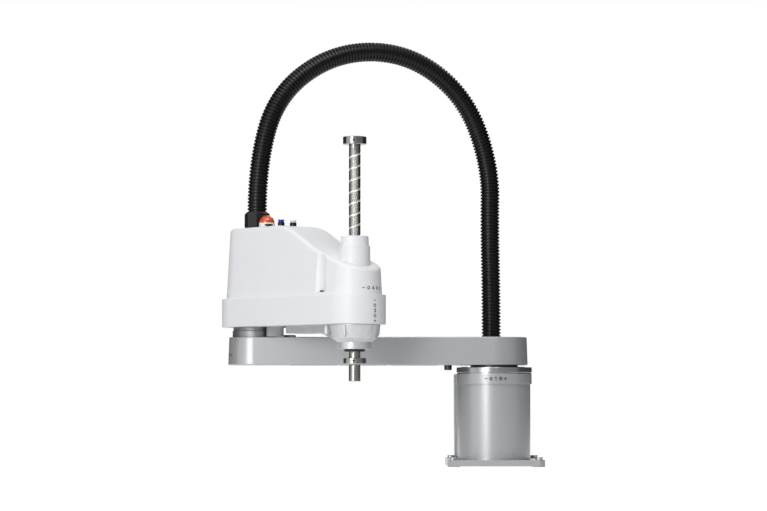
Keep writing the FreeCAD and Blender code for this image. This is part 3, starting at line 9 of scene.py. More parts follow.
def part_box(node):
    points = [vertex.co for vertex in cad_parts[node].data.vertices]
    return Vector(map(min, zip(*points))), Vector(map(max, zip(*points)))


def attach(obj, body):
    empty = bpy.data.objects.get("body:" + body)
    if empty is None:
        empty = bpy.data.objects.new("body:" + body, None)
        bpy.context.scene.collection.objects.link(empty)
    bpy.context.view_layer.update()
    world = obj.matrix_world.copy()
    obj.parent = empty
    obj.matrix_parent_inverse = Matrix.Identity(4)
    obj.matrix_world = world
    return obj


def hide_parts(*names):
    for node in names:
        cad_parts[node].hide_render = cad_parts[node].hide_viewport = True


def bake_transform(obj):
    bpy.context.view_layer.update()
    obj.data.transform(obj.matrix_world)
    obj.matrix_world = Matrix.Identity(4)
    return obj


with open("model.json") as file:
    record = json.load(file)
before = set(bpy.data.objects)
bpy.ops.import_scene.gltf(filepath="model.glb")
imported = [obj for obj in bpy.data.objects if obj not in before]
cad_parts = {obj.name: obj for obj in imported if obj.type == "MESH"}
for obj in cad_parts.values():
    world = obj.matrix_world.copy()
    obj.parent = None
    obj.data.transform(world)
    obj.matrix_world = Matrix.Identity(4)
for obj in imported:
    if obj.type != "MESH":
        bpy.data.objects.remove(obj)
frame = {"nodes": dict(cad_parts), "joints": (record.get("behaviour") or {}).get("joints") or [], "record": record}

bl_info = {
    "name": "Assembly robot",
    "version": (1, 0, 0),
    "blender": (4, 5, 0),
    "location": "View3D > Sidebar > Robot",
    "description": "Gives the robot its finishes, duct, shaft grooves, screws, pins and marks",
    "category": "Object",
}

MM = 0.001


def linear(code):
    """Linear colour from an sRGB hex code."""
    parts = [int(code[place:place + 2], 16) / 255 for place in (0, 2, 4)]
    return tuple(c / 12.92 if c <= 0.04045 else ((c + 0.055) / 1.055) ** 2.4 for c in parts)


def colour(label, words, code):
    return bpy.props.FloatVectorProperty(name=label, description=words, size=3, subtype="COLOR",
                                         min=0.0, max=1.0, default=linear(code))


def length(label, words, millimetres):
    return bpy.props.FloatProperty(name=label, description=words, subtype="DISTANCE",
                                   unit="LENGTH", min=0.0, default=millimetres * MM)


# Settings that a user would change

class RobotFinishSettings(bpy.types.PropertyGroup):
    enamel: colour("Arm enamel", "Silver-grey enamel of base and arm 1", "AFB1B3")
    cover: colour("Cover", "White moulded cover of arm 2", "E9EAED")
    casting: colour("Casting", "Light grey casting under arm 2", "CDD0D2")
    lamp: colour("Lamp lens", "Orange lens on top of arm 2", "E4571A")
    blue: colour("Blue ring", "Release ring of the blue air fitting", "1A24C8")
    ink: colour("Marks", "Engraved and filled marks", "1F2126")
    paint_peel: length("Paint peel", "Distance between ripples in the enamel", 1.6)


class RobotDuctSettings(bpy.types.PropertyGroup):
    radius: length("Radius", "Outside radius of the duct", 17.25)
    root: length("Root radius", "Radius between two corrugations", 15.0)
    pitch: length("Pitch", "Distance between two corrugations", 6.0)


class RobotShaftSettings(bpy.types.PropertyGroup):
    lead: length("Lead", "Rise of the ball groove in one turn", 20.0)
    groove_width: length("Groove width", "Height of the ball groove along the shaft", 3.0)
    groove_depth: length("Groove depth", "Depth of the ball groove", 0.7)
    groove_start: length("Groove start", "Height that the groove's front crossing is lowered by", 3.3)
    spline_depth: length("Spline depth", "Depth of the straight spline grooves", 0.25)


class RobotStageSettings(bpy.types.PropertyGroup):
    key: bpy.props.FloatProperty(name="Key lamp", description="Power of the left softbox",
                                 subtype="POWER", unit="POWER", min=0.0, default=21.5)
    fill: bpy.props.FloatProperty(name="Room light", description="Strength of the room's light",
                                  min=0.0, default=0.58)
    floor_size: bpy.props.FloatProperty(name="Floor", description="Half width of the floor",
                                        subtype="DISTANCE", unit="LENGTH", default=30.0)


# Nodes

def add_node(tree, kind, inputs=None, **settings):
    """Add one node, set its properties, and fill or link its inputs."""
    node = tree.nodes.new(kind)
    for name, value in settings.items():
        setattr(node, name, value)
    for key, value in (inputs or {}).items():
        if isinstance(value, bpy.types.NodeSocket):
            tree.links.new(value, node.inputs[key])
        else:
            node.inputs[key].default_value = value
    return node


def empty_tree(owner):
    """Node tree of a new material or world, with no nodes in it."""
    owner.use_nodes = True
    owner.node_tree.nodes.clear()
    return owner.node_tree


def start_material(name, base, metallic, roughness, **extra):
    material = bpy.data.materials.new(name)
    tree = empty_tree(material)
    inputs = {"Base Color": (*base, 1.0), "Metallic": metallic, "Roughness": roughness}
    inputs.update({key.replace("_", " "): value for key, value in extra.items()})
    shader = add_node(tree, "ShaderNodeBsdfPrincipled", inputs)
    add_node(tree, "ShaderNodeOutputMaterial", {"Surface": shader.outputs[0]})
    place = add_node(tree, "ShaderNodeTexCoord").outputs["Object"]
    return material, tree, shader, place


def per_metre(millimetres):
    """Texture scale that repeats a feature every so many millimetres."""
    return 1.0 / (millimetres * MM)


def vary_colour(tree, shader, place, base, spread, feature):
    """Mottle the colour a little, with patches of the given size in millimetres."""
    noise = add_node(tree, "ShaderNodeTexNoise", {"Vector": place, "Scale": per_metre(feature),
                                                  "Detail": 3.0, "Roughness": 0.55})
    ramp = add_node(tree, "ShaderNodeValToRGB", {"Fac": noise.outputs[0]})
    ramp.color_ramp.elements[0].position = 0.3
    ramp.color_ramp.elements[1].position = 0.7
    ramp.color_ramp.elements[0].color = (*(c * (1 - spread) for c in base), 1.0)
    ramp.color_ramp.elements[1].color = (*(min(1.0, c * (1 + spread)) for c in base), 1.0)
    tree.links.new(ramp.outputs[0], shader.inputs["Base Color"])


def vary_roughness(tree, shader, place, low, high, feature):
    noise = add_node(tree, "ShaderNodeTexNoise", {"Vector": place, "Scale": per_metre(feature),
                                                  "Detail": 4.0})
    spread = add_node(tree, "ShaderNodeMapRange", {"Value": noise.outputs[0], "From Min": 0.3,
                                                   "From Max": 0.7, "To Min": low, "To Max": high})
    tree.links.new(spread.outputs[0], shader.inputs["Roughness"])


def grain_bump(tree, shader, place, feature, depth, strength=1.0, edge=0.6):
    """Surface grain of a feature size and depth in millimetres, over softened edges."""
    edges = add_node(tree, "ShaderNodeBevel", {"Radius": edge * MM}, samples=4)
    noise = add_node(tree, "ShaderNodeTexNoise", {"Vector": place, "Scale": per_metre(feature),
                                                  "Detail": 2.0})
    bump = add_node(tree, "ShaderNodeBump", {"Strength": strength, "Distance": depth * MM,
                                             "Height": noise.outputs[0],
                                             "Normal": edges.outputs[0]})
    tree.links.new(bump.outputs[0], shader.inputs["Normal"])


def stretched(tree, place, along):
    """Coordinates squeezed so that noise runs in long lines; along is a scale for each axis."""
    return add_node(tree, "ShaderNodeMapping", {"Vector": place, "Scale": along}).outputs[0]


# Finishes

def plain_finish(name, base, metallic, roughness, mottle=None, grain=None, **extra):
    """Material with the mottle of vary_colour and the grain of grain_bump, where given."""
    material, tree, shader, place = start_material(name, base, metallic, roughness, **extra)
    if mottle:
        vary_colour(tree, shader, place, base, *mottle)
    if grain:
        grain_bump(tree, shader, place, *grain)
    return material


def make_enamel():
    # silver-grey enamel sprayed on a casting: soft gloss with a fine peel
    settings = bpy.context.scene.robot_finish
    return plain_finish("Silver enamel sprayed on cast aluminium", settings.enamel, 0.4, 0.36,
                        (0.02, 60), (settings.paint_peel / MM, 0.03, 0.5, 1.0),
                        Coat_Weight=0.5, Coat_Roughness=0.2)


def make_cover_abs():
    # moulded ABS: matt fine spark grain
    return plain_finish("White moulded ABS with spark grain", bpy.context.scene.robot_finish.cover,
                        0.0, 0.42, (0.012, 80), (0.9, 0.02, 0.5, 1.2), IOR=1.53)


def make_polished_ring():
    # bearing steel, turned and polished: near mirror with faint turning marks
    base = linear("A6A8AA")
    material, tree, shader, place = start_material("Bearing steel turned and polished", base,
                                                   1.0, 0.2)
    lines = stretched(tree, place, (1.0, 1.0, 60.0))
    vary_roughness(tree, shader, lines, 0.23, 0.26, 60)
    return material


def make_black_oxide():
    # black oxide steel: dark satin with worn, lighter patches
    base = linear("4A4B4E")
    material, tree, shader, place = start_material("Black oxide machined steel", base, 0.9, 0.3)
    vary_colour(tree, shader, place, base, 0.16, 6)
    grain_bump(tree, shader, stretched(tree, place, (1.0, 1.0, 20.0)), 8, 0.02, 0.4, 0.4)
    return material


def make_gear_steel():
    # cast iron gear housing, turned and oiled: mid grey with broad soft reflections
    base = linear("8B8C8F")
    material, tree, shader, place = start_material("Turned cast iron gear housing", base, 0.9, 0.42)
    lines = stretched(tree, place, (1.0, 1.0, 30.0))
    vary_colour(tree, shader, place, base, 0.08, 7)
    grain_bump(tree, shader, lines, 10, 0.01, 0.3, 0.5)
    return material


def make_ground_steel():
    # hardened steel, cylindrically ground: bright with very fine rings round the axis
    base = linear("9E9D9A")
    material, tree, shader, place = start_material("Hardened steel ground bright", base, 1.0, 0.22)
    rings = stretched(tree, place, (1.0, 1.0, 80.0))
    vary_roughness(tree, shader, rings, 0.21, 0.25, 20)
    vary_colour(tree, shader, stretched(tree, place, (1.0, 1.0, 0.1)), base, 0.03, 4)
    return material


def make_raceway_painted_highlight():
    # ball track of the shaft: softer than the land, and a much lighter colour that is a painted highlight of the
    # lit groove
    base = linear("F2F1EE")
    material, tree, shader, place = start_material("Hardened steel ball track with painted highlight", base,
                                                   0.75, 0.45)
    vary_roughness(tree, shader, place, 0.4, 0.5, 6)
    return material


def make_casting():
    # light grey lacquer thin over die-cast aluminium: satin with a sandy grain
    return plain_finish("Grey lacquer on die-cast aluminium",
                        bpy.context.scene.robot_finish.casting, 0.5, 0.4, (0.05, 12),
                        (1.4, 0.05, 0.5, 1.0))


def make_bare_aluminium():
    # milled aluminium inside the covers: straight cutter lines
    base = linear("C5C7C8")
    material, tree, shader, place = start_material("Milled aluminium plate", base, 1.0, 0.32)
    grain_bump(tree, shader, stretched(tree, place, (30.0, 1.0, 1.0)), 14, 0.02, 0.4)
    return material


def make_panel_paint():
    # powder-coated sheet steel: fine leather-like texture
    return plain_finish("Grey powder coat on sheet steel", linear("8E9194"), 0.0, 0.5,
                        (0.03, 10), (1.1, 0.05, 0.6, 0.4))


def make_black_polyamide():
    # moulded black polyamide: slightly grey sheen, fine grain
    return plain_finish("Black moulded polyamide", linear("18191B"), 0.0, 0.38, (0.2, 4),
                        (0.7, 0.03, 0.5, 0.5), Specular_IOR_Level=0.35)


def make_duct_polyamide():
    # extruded corrugated polyamide: deep black with a clear gloss on each rib
    return plain_finish("Black extruded polyamide duct", linear("0D0D0E"), 0.0, 0.32, (0.25, 9),
                        (2.2, 0.03, 0.3, 0.4), Specular_IOR_Level=0.28)


def make_motor_anodised():
    # black anodised motor case: dark metal with a dull sheen
    return plain_finish("Black anodised motor case", linear("1D1E20"), 0.6, 0.4,
                        grain=(0.8, 0.02, 0.4))


def make_lamp_lens():
    # translucent orange polycarbonate: colour glows a little through the wall
    base = bpy.context.scene.robot_finish.lamp
    material, tree, shader, place = start_material("Orange moulded polycarbonate lens", base, 0.0,
                                                   0.12, IOR=1.585, Coat_Weight=0.4,
                                                   Transmission_Weight=0.15)
    shader.inputs["Subsurface Weight"].default_value = 0.3
    shader.inputs["Subsurface Radius"].default_value = (0.006, 0.002, 0.0005)
    shader.inputs["Subsurface Scale"].default_value = 1.0
    ribs = add_node(tree, "ShaderNodeTexWave", {"Vector": place, "Scale": 120.0},
                    wave_type="RINGS", rings_direction="Z")
    bump = add_node(tree, "ShaderNodeBump", {"Strength": 0.1, "Distance": 0.0002,
                                             "Height": ribs.outputs["Fac"]})
    tree.links.new(bump.outputs[0], shader.inputs["Normal"])
    return material


def make_white_gloss():
    # glossy white moulding: sharp small highlights
    return plain_finish("White glossy moulding", linear("E9EAEA"), 0.0, 0.25,
                        grain=(2.0, 0.01, 0.3, 0.3))


def make_blue_acetal():
    # moulded acetal: strong blue with a waxy gloss
    return plain_finish("Blue moulded acetal", bpy.context.scene.robot_finish.blue, 0.0, 0.3,
                        (0.06, 3), (0.8, 0.01, 0.3, 0.3))


def make_circuit_board():
    # glass-epoxy board under green resist: copper lines show a little lighter
    base = linear("0F5A34")
    material, tree, shader, place = start_material("Glass epoxy board with green resist", base,
                                                   0.0, 0.3)
    bricks = add_node(tree, "ShaderNodeTexBrick",
                      {"Vector": place, "Scale": 90.0, "Mortar Size": 0.03,
                       "Color1": (*base, 1.0), "Color2": (*linear("12683C"), 1.0),
                       "Mortar": (*linear("2F8F5C"), 1.0)})
    tree.links.new(bricks.outputs[0], shader.inputs["Base Color"])
    return material


def make_belt_rubber():
    # neoprene belt: dull black with a coarse skin
    return plain_finish("Neoprene toothed belt", linear("1B1B1C"), 0.0, 0.7,
                        grain=(1.2, 0.05, 0.6, 0.3))


def make_seal_rubber():
    # nitrile lip seal: smooth dull black
    return plain_finish("Nitrile rubber seal", linear("141415"), 0.0, 0.55,
                        grain=(0.8, 0.02, 0.4, 0.3))


def make_nickel_brass():
    # nickel plate on turned brass: warm bright metal with turning marks
    base = linear("C4C1B8")
    material, tree, shader, place = start_material("Nickel plated turned brass", base, 1.0, 0.24)
    grain_bump(tree, shader, stretched(tree, place, (1.0, 1.0, 20.0)), 8, 0.01, 0.3, 0.3)
    return material


def make_zinc():
    # zinc plated steel: bright, with slightly cloudy patches
    base = linear("B4B5B6")
    material, tree, shader, place = start_material("Zinc plated steel", base, 1.0, 0.3)
    vary_colour(tree, shader, place, base, 0.14, 2.5)
    vary_roughness(tree, shader, place, 0.24, 0.4, 3)
    return material


def make_gold_pin():
    # gold plated pin: yellow metal, a little uneven
    base = linear("D8AE5C")
    material, tree, shader, place = start_material("Gold plated contact", base, 1.0, 0.25)
    vary_roughness(tree, shader, place, 0.2, 0.32, 1)
    return material


def make_ink():
    # paint rubbed into engraved marks: dull and slightly uneven
    return plain_finish("Dark paint in engraved marks", bpy.context.scene.robot_finish.ink, 0.0,
                        0.6, (0.2, 0.6))


FINISHES = {
    "enamel": make_enamel, "cover": make_cover_abs, "ring": make_polished_ring,
    "oxide": make_black_oxide, "gear_unit": make_gear_steel,
    "ground": make_ground_steel, "raceway_painted_highlight": make_raceway_painted_highlight, "casting": make_casting,
    "bare": make_bare_aluminium, "panel": make_panel_paint, "black": make_black_polyamide,
    "duct": make_duct_polyamide, "motor": make_motor_anodised, "lens": make_lamp_lens,
    "white": make_white_gloss, "blue": make_blue_acetal, "board": make_circuit_board,
    "belt": make_belt_rubber, "seal": make_seal_rubber, "nickel": make_nickel_brass,
    "gold": make_gold_pin, "ink": make_ink, "zinc": make_zinc,
}

# Which finish each carried-over piece has
WORN_BY = {
    "enamel": ("base_casting", "arm1_casting"),
    "cover": ("arm2_lower_cover", "arm2_top_cover", "shaft_sleeve"),
    "ring": ("j1_ring",),
    "gear_unit": ("j2_reducer_housing", "j2_output_disc"),
    "oxide": ("panel_screws", "arm1_output_screws", "j1_stop_bolt", "j1_output_disc",
              "j2_reducer_screws", "j2_stop_block", "cover_channel_screws",
              "cover_back_screws", "collar_set_screws", "cable_sockets"),
    "ground": ("shaft", "upper_collar", "lower_collar", "spline_nut", "ball_screw_nut",
               "spline_bearing", "ball_nut_bearing", "j1_wave_generator", "j2_wave_generator",
               "plate_spacers", "user_ports"),
    "casting": ("arm2_casting",),
    "bare": ("j1_motor_plate", "arm2_upper_plate", "j3_motor_pulley", "j4_motor_pulley",
             "spline_pulley", "ball_nut_pulley"),
    "panel": ("connector_panel",),
    "black": ("duct_gland_base", "duct_gland_arm2", "arm1_cap", "brake_release_button",
              "air_fitting_blue", "air_fitting_white"),
    "duct": ("cable_duct_rear", "cable_duct_front"),
    "motor": ("j1_motor", "j2_motor", "j3_motor", "j4_motor", "j3_brake"),
    "lens": ("lamp_lens",),
    "white": ("lamp_base", "air_fitting_ring_white"),
    "blue": ("air_fitting_ring_blue", "base_release_rings"),
    "board": ("control_board",),
    "belt": ("j3_belt", "j4_belt"),
    "seal": ("shaft_seal",),
    "nickel": ("base_air_fittings",),
}
finish_of = {}


# Places, from the frame

def centre(node):
    low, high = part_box(node)
    return (Vector(low) + Vector(high)) / 2


def joint_place(name):
    joint = [item for item in frame["joints"] if item["name"] == name][0]
    return Vector(joint["pos_m"])


shaft_axis = joint_place("j4_turn")
elbow_axis = joint_place("j2_swing")
arm2_along = (shaft_axis - elbow_axis).to_2d().normalized()
arm2_across = Vector((-arm2_along.y, arm2_along.x))


def on_arm2(along, across, height):
    """World point from millimetres along and across arm 2 and millimetres above the floor."""
    flat = elbow_axis.to_2d() + (arm2_along * along + arm2_across * across) * MM
    return Vector((flat.x, flat.y, height * MM))


# Meshes

def finish_mesh(name, vertices, faces, finish, smooth_angle=35.0):
    mesh = bpy.data.meshes.new(name)
    mesh.from_pydata([tuple(v) for v in vertices], [], faces)
    mesh.validate()
    mesh.update()
    work = bmesh.new()
    work.from_mesh(mesh)
    bmesh.ops.recalc_face_normals(work, faces=work.faces)
    work.to_mesh(mesh)
    work.free()
    mesh.materials.append(finish_of[finish])
    piece = bpy.data.objects.new(name, mesh)
    bpy.context.scene.collection.objects.link(piece)
    mesh.shade_smooth()
    mesh.set_sharp_from_angle(angle=math.radians(smooth_angle))
    return piece


def round_point(radius, turn, height):
    """Point at a radius and angle about the origin's standing axis, from millimetres."""
    return Vector((radius * math.cos(turn), radius * math.sin(turn), height)) * MM


def lathe(profile, segments=64, closed=True):
    """Vertices and faces of a turned form from (radius, height) points in millimetres."""
    vertices = []
    faces = []
    count = len(profile)
    for step in range(segments):
        turn = 2 * math.pi * step / segments
        vertices += [round_point(radius, turn, height) for radius, height in profile]
    last = count if closed else count - 1
    for step in range(segments):
        here = step * count
        there = (step + 1) % segments * count
        for point in range(last):
            after = (point + 1) % count
            faces.append((here + point, there + point, there + after, here + after))
    return vertices, faces


def moved(vertices, place, axis=(0, 0, 1)):
    turn = Vector((0, 0, 1)).rotation_difference(Vector(axis)).to_matrix()
    return [turn @ vertex + place for vertex in vertices]


def joined(parts):
    """One list of vertices and one of faces from several forms."""
    vertices = []
    faces = []
    for part_vertices, part_faces in parts:
        start = len(vertices)
        vertices += part_vertices
        faces += [tuple(start + corner for corner in face) for face in part_faces]
    return vertices, faces


def hex_socket_screw(head_radius, head_height, socket):
    """Cap screw head with a hexagon socket and a bevelled edge; socket is its key size."""
    sides = 48
    edge = head_height * 0.12
    socket_floor = head_height * 0.45
    rings = [(head_radius, 0.0), (head_radius, head_height - edge),
             (head_radius - edge, head_height)]
    vertices = []
    faces = []
    for radius, height in rings:
        for step in range(sides):
            turn = 2 * math.pi * step / sides
            vertices.append(round_point(radius, turn, height))
    for height in (head_height, socket_floor):
        for step in range(sides):
            turn = 2 * math.pi * step / sides
            sector = turn % (math.pi / 3) - math.pi / 6
            radius = socket / 2 / math.cos(sector)
            vertices.append(round_point(radius, turn, height))
    for ring in range(4):
        for step in range(sides):
            after = (step + 1) % sides
            faces.append((ring * sides + step, ring * sides + after,
                          (ring + 1) * sides + after, (ring + 1) * sides + step))
    faces.append(tuple(range(4 * sides, 5 * sides)))
    faces.append(tuple(reversed(range(sides))))
    return vertices, faces


# Pieces

class RobotPiece:
    """Base of the operators: each makes one piece or one group of like pieces."""
    bl_options = {"REGISTER", "UNDO"}


class ROBOT_OT_finishes(RobotPiece, bpy.types.Operator):
    """Make the finishes and put them on the pieces carried over from the frame"""
    bl_idname = "robot.finishes"
    bl_label = "Finishes"

    def execute(self, context):
        for name, make in FINISHES.items():
            finish_of[name] = make()
        for name, nodes in WORN_BY.items():
            for node in nodes:
                piece = frame["nodes"][node]
                for slot in piece.material_slots:
                    slot.material = finish_of[name]
        return {"FINISHED"}


# Duct: the route of the hose's middle line, in millimetres, from the base to arm 2

def duct_route():
    start = centre("duct_gland_base")
    end = centre("duct_gland_arm2")
    base_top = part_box("duct_gland_base")[1][2]
    arm_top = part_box("duct_gland_arm2")[1][2]
    middle = [(-2.5, 117.5, 424), (-1, 117, 545), (-48.6, 104.5, 672), (-152.8, 74, 747),
              (-281.5, 37, 744), (-386.2, 7, 665.5)]
    route = [Vector((start.x, start.y, base_top)), Vector((start.x, start.y, 308 * MM))]
    route += [Vector(point) * MM for point in middle]
    return route + [Vector((end.x, end.y, 538 * MM)), Vector((end.x, end.y, arm_top))]


def smooth_line(points):
    """Points along the NURBS spline that has the route as its control points."""
    curve = bpy.data.curves.new("duct_line", "CURVE")
    curve.dimensions = "3D"
    spline = curve.splines.new("NURBS")
    spline.points.add(len(points) - 1)
    for target, point in zip(spline.points, points):
        target.co = (*point, 1.0)
    spline.order_u = 3
    spline.use_endpoint_u = True
    spline.resolution_u = 64
    carrier = bpy.data.objects.new("duct_line", curve)
    bpy.context.scene.collection.objects.link(carrier)
    bpy.context.view_layer.update()
    mesh = bpy.data.meshes.new_from_object(carrier)
    line = [vertex.co.copy() for vertex in mesh.vertices]
    bpy.data.objects.remove(carrier)
    bpy.data.meshes.remove(mesh)
    return line


def at_even_steps(line, step):
    """The line sampled again at even distances, with its last point kept."""
    result = [line[0].copy()]
    left = step
    for start, end in zip(line, line[1:]):
        span = (end - start).length
        position = 0.0
        while span - position > left:
            position += left
            result.append(start.lerp(end, position / span))
            left = step
        left -= span - position
    result.append(line[-1].copy())
    return result


def sweep(path, radius_at, segments=40):
    """Tube round a path; radius_at gives the radius for a distance along it."""
    vertices = []
    faces = []
    tangent = (path[1] - path[0]).normalized()
    side = tangent.orthogonal().normalized()
    distance = 0.0
    for index, point in enumerate(path):
        ahead = path[min(index + 1, len(path) - 1)]
        behind = path[max(index - 1, 0)]
        new_tangent = (ahead - behind).normalized()
        side = tangent.rotation_difference(new_tangent) @ side
        tangent = new_tangent
        across = tangent.cross(side)
        if index:
            distance += (point - path[index - 1]).length
        radius = radius_at(distance)
        for step in range(segments):
            turn = 2 * math.pi * step / segments
            vertices.append(point + (side * math.cos(turn) + across * math.sin(turn)) * radius)
    for index in range(len(path) - 1):
        for step in range(segments):
            after = (step + 1) % segments
            here = index * segments
            there = here + segments
            faces.append((here + step, here + after, there + after, there + step))
    faces.append(tuple(reversed(range(segments))))
    faces.append(tuple(range((len(path) - 1) * segments, len(path) * segments)))
    return vertices, faces


def corrugation(distance):
    """Radius of the duct: flat crests, steep flanks and narrow roots."""
    settings = bpy.context.scene.robot_duct
    flank = 0.15
    phase = distance / settings.pitch % 1.0
    rise = min(1.0, max(0.0, (0.5 - abs(phase - 0.5)) / flank - 0.75))
    blend = rise * rise * (3 - 2 * rise)
    return settings.root + (settings.radius - settings.root) * blend


class ROBOT_OT_duct(RobotPiece, bpy.types.Operator):
    """Make the corrugated duct in two halves that meet at the crown"""
    bl_idname = "robot.duct"
    bl_label = "Corrugated duct"

    def execute(self, context):
        settings = context.scene.robot_duct
        samples_per_corrugation = 8
        route = duct_route()
        line = at_even_steps(smooth_line(route), settings.pitch / samples_per_corrugation)
        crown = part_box("cable_duct_front")[1]
        split = min(range(len(line)), key=lambda index: abs(line[index].x - crown[0])
                    + abs(line[index].z - crown[2]))
        halves = (("duct_rear", line[:split + 1], "cable_duct_rear"),
                  ("duct_front", line[split:], "cable_duct_front"))
        for name, path, node in halves:
            vertices, faces = sweep(path, corrugation)
            piece = finish_mesh(name, vertices, faces, "duct", 60)
            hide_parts(node)
            if name == "duct_rear":
                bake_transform(piece)
            else:
                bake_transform(piece)
        return {"FINISHED"}


class ROBOT_OT_shaft(RobotPiece, bpy.types.Operator):
    """Make the hollow shaft with its helical ball groove and straight spline grooves"""
    bl_idname = "robot.shaft"
    bl_label = "Grooved shaft"

    def execute(self, context):
        settings = context.scene.robot_shaft
        low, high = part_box("shaft")
        bottom, top = low[2] / MM, high[2] / MM
        collar_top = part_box("lower_collar")[1][2] / MM
        collar_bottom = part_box("lower_collar")[0][2] / MM
        outer = round((high[0] - low[0]) / 2 / MM, 1)
        bore = 7.0
        edge = 0.8
        relief_height, relief_depth = 1.7, 0.3
        plain_top, plain_bottom, run_out = 16.0, 8.0, 3.0
        spline_half_angle = 0.11
        lead = settings.lead / MM
        half = settings.groove_width / MM / lead * math.pi
        depth = settings.groove_depth / MM
        lower = settings.groove_start / MM
        across = [-1.2, -1.0, -0.8, -0.4, 0.0, 0.4, 0.8, 1.0, 1.2]
        plain = 83
        start = half * 1.2
        columns = [half * share for share in across]
        columns += [start + (2 * math.pi - 2 * start) * step / plain for step in range(1, plain)]
        steps = 360
        levels = [bottom, bottom + edge] + [bottom + edge + (top - bottom - 2 * edge) * step / steps
                                            for step in range(1, steps)] + [top - edge, top]
        vertices = []
        faces = []
        for height in levels:
            # the grooves run out below the upper collar and above the lower one
            fade = (min(1.0, max(0.0, (top - plain_top - height) / run_out))
                    * min(1.0, max(0.0, (height - collar_top - plain_bottom) / run_out)))
            ends = edge if height in (bottom, top) else 0.0
            relieved = collar_bottom - relief_height < height < collar_bottom
            relief = relief_depth if relieved else 0.0
            twist = 2 * math.pi * (height + lower) / lead
            for angle in columns:
                turn = angle + twist
                dip = 0.0
                if abs(angle) < half:
                    dip = depth * math.sqrt(1 - (angle / half) ** 2) * fade
                else:
                    # four straight spline grooves, a quarter turn apart
                    off = (turn + math.pi / 4) % (math.pi / 2) - math.pi / 4
                    if abs(off) < spline_half_angle:
                        dip = settings.spline_depth / MM * fade
                radius = outer - dip - ends - relief
                vertices.append(round_point(radius, turn, height))
        count = len(columns)
        for level in range(len(levels) - 1):
            for column in range(count):
                after = (column + 1) % count
                faces.append((level * count + column, level * count + after,
                              (level + 1) * count + after, (level + 1) * count + column))
        inner = len(vertices)
        for height in (bottom, top):
            shift = 2 * math.pi * (height + lower) / lead
            vertices += [round_point(bore, angle + shift, height) for angle in columns]
        last = (len(levels) - 1) * count
        for column in range(count):
            after = (column + 1) % count
            faces.append((after, column, inner + column, inner + after))
            faces.append((last + column, last + after, inner + count + after, inner + count + column))
        bore_vertices, bore_faces = lathe([(bore, bottom), (bore, top)], 64, closed=False)
        vertices, faces = joined([(vertices, faces), (bore_vertices, bore_faces)])
        place = Vector((shaft_axis.x, shaft_axis.y, 0.0))
        piece = finish_mesh("grooved_shaft", moved(vertices, place), faces, "ground", 25)
        # second slot: the ball track's finish, whose light colour is a painted highlight of the lit groove
        piece.data.materials.append(finish_of["raceway_painted_highlight"])
        track = (len(across) - 1) // 2
        for level in range(len(levels) - 1):
            if collar_top + plain_bottom + 2 < levels[level] < top - plain_top - 2:
                for column in range(1, 2 * track - 1):
                    piece.data.polygons[level * count + column].material_index = 1
        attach(piece, "shaft")
        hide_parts("shaft")
        return {"FINISHED"}


class ROBOT_OT_ring(RobotPiece, bpy.types.Operator):
    """Make the polished ring of joint 1 with its turned lip and parting groove"""
    bl_idname = "robot.ring"
    bl_label = "Joint 1 ring"

    def execute(self, context):
        low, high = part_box("j1_ring")
        outer = (high[0] - low[0]) / 2 / MM
        bottom, top = low[2] / MM, high[2] / MM
        sunk = 17.0
        seat = bottom + sunk
        bore, body = 38.0, 42.5
        neck = outer - 1.2
        groove = seat + 1.6
        profile = [(bore, bottom), (body, bottom), (body, seat), (neck, seat),
                   (neck, groove), (outer - 0.5, groove + 0.3), (outer, groove + 0.9),
                   (outer, top - 1.0), (outer - 0.3, top - 0.3), (outer - 1.0, top), (bore, top)]
        vertices, faces = lathe(profile, 160)
        piece = finish_mesh("polished_ring", vertices, faces, "ring", 20)
        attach(piece, "base")
        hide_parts("j1_ring")
        return {"FINISHED"}


class ROBOT_OT_base_bolts(RobotPiece, bpy.types.Operator):
    """Make the four M8 fixing bolts on the flange"""
    bl_idname = "robot.base_bolts"
    bl_label = "Fixing bolts"

    def execute(self, context):
        mount = [item for item in frame["record"]["mounts"] if item["name"] == "base_bolts"][0]
        half = mount["dims"]["spacing_x_mm"] / 2
        flange_top = 9.0
        head, head_faces = hex_socket_screw(head_radius=6.5, head_height=8.0, socket=6.0)
        parts = []
        for x in (-half, half):
            for y in (-half, half):
                place = Vector((x, y, flange_top)) * MM
                parts.append((moved(head, place), head_faces))
        vertices, faces = joined(parts)
        piece = finish_mesh("base_fixing_bolts", vertices, faces, "zinc")
        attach(piece, "base")
        return {"FINISHED"}


# Marks: joint signs filled with dark paint, as flat strokes (points in millimetres, a width)

SIGN_SCALE = 1.15
STROKE = 1.0
RAISED = 0.04
COLUMN_RADIUS = 67.5
BAND_RADIUS = 53.0
COVER_NOSE_RADIUS = 46.5
COVER_DRAFT = math.tan(math.radians(3))
ARM1_DRAFT = math.tan(math.radians(2))
ARM1_BOTTOM = 178.0
MINUS = [[(-1.6, 0), (1.6, 0)]]
PLUS = [[(-1.6, 0), (1.6, 0)], [(0, -1.6), (0, 1.6)]]
RING = [[(1.9 * math.cos(math.pi * k / 8), 1.9 * math.sin(math.pi * k / 8)) for k in range(17)]]
DIGITS = {
    "1": [[(-0.9, 1.4), (0.3, 2.4), (0.3, -2.4)]],
    "2": [[(-1.3, 1.5), (-0.7, 2.3), (0.7, 2.3), (1.3, 1.4), (1.1, 0.5), (-1.3, -2.3), (1.4, -2.3)]],
    "3": [[(-1.3, 1.7), (-0.6, 2.4), (0.6, 2.4), (1.3, 1.6), (1.0, 0.5), (0.1, 0.15), (1.1, -0.3),
           (1.4, -1.3), (0.7, -2.3), (-0.6, -2.4), (-1.4, -1.6)]],
    "4": [[(0.7, -2.4), (0.7, 2.4), (-1.5, -0.9), (1.5, -0.9)]],
}


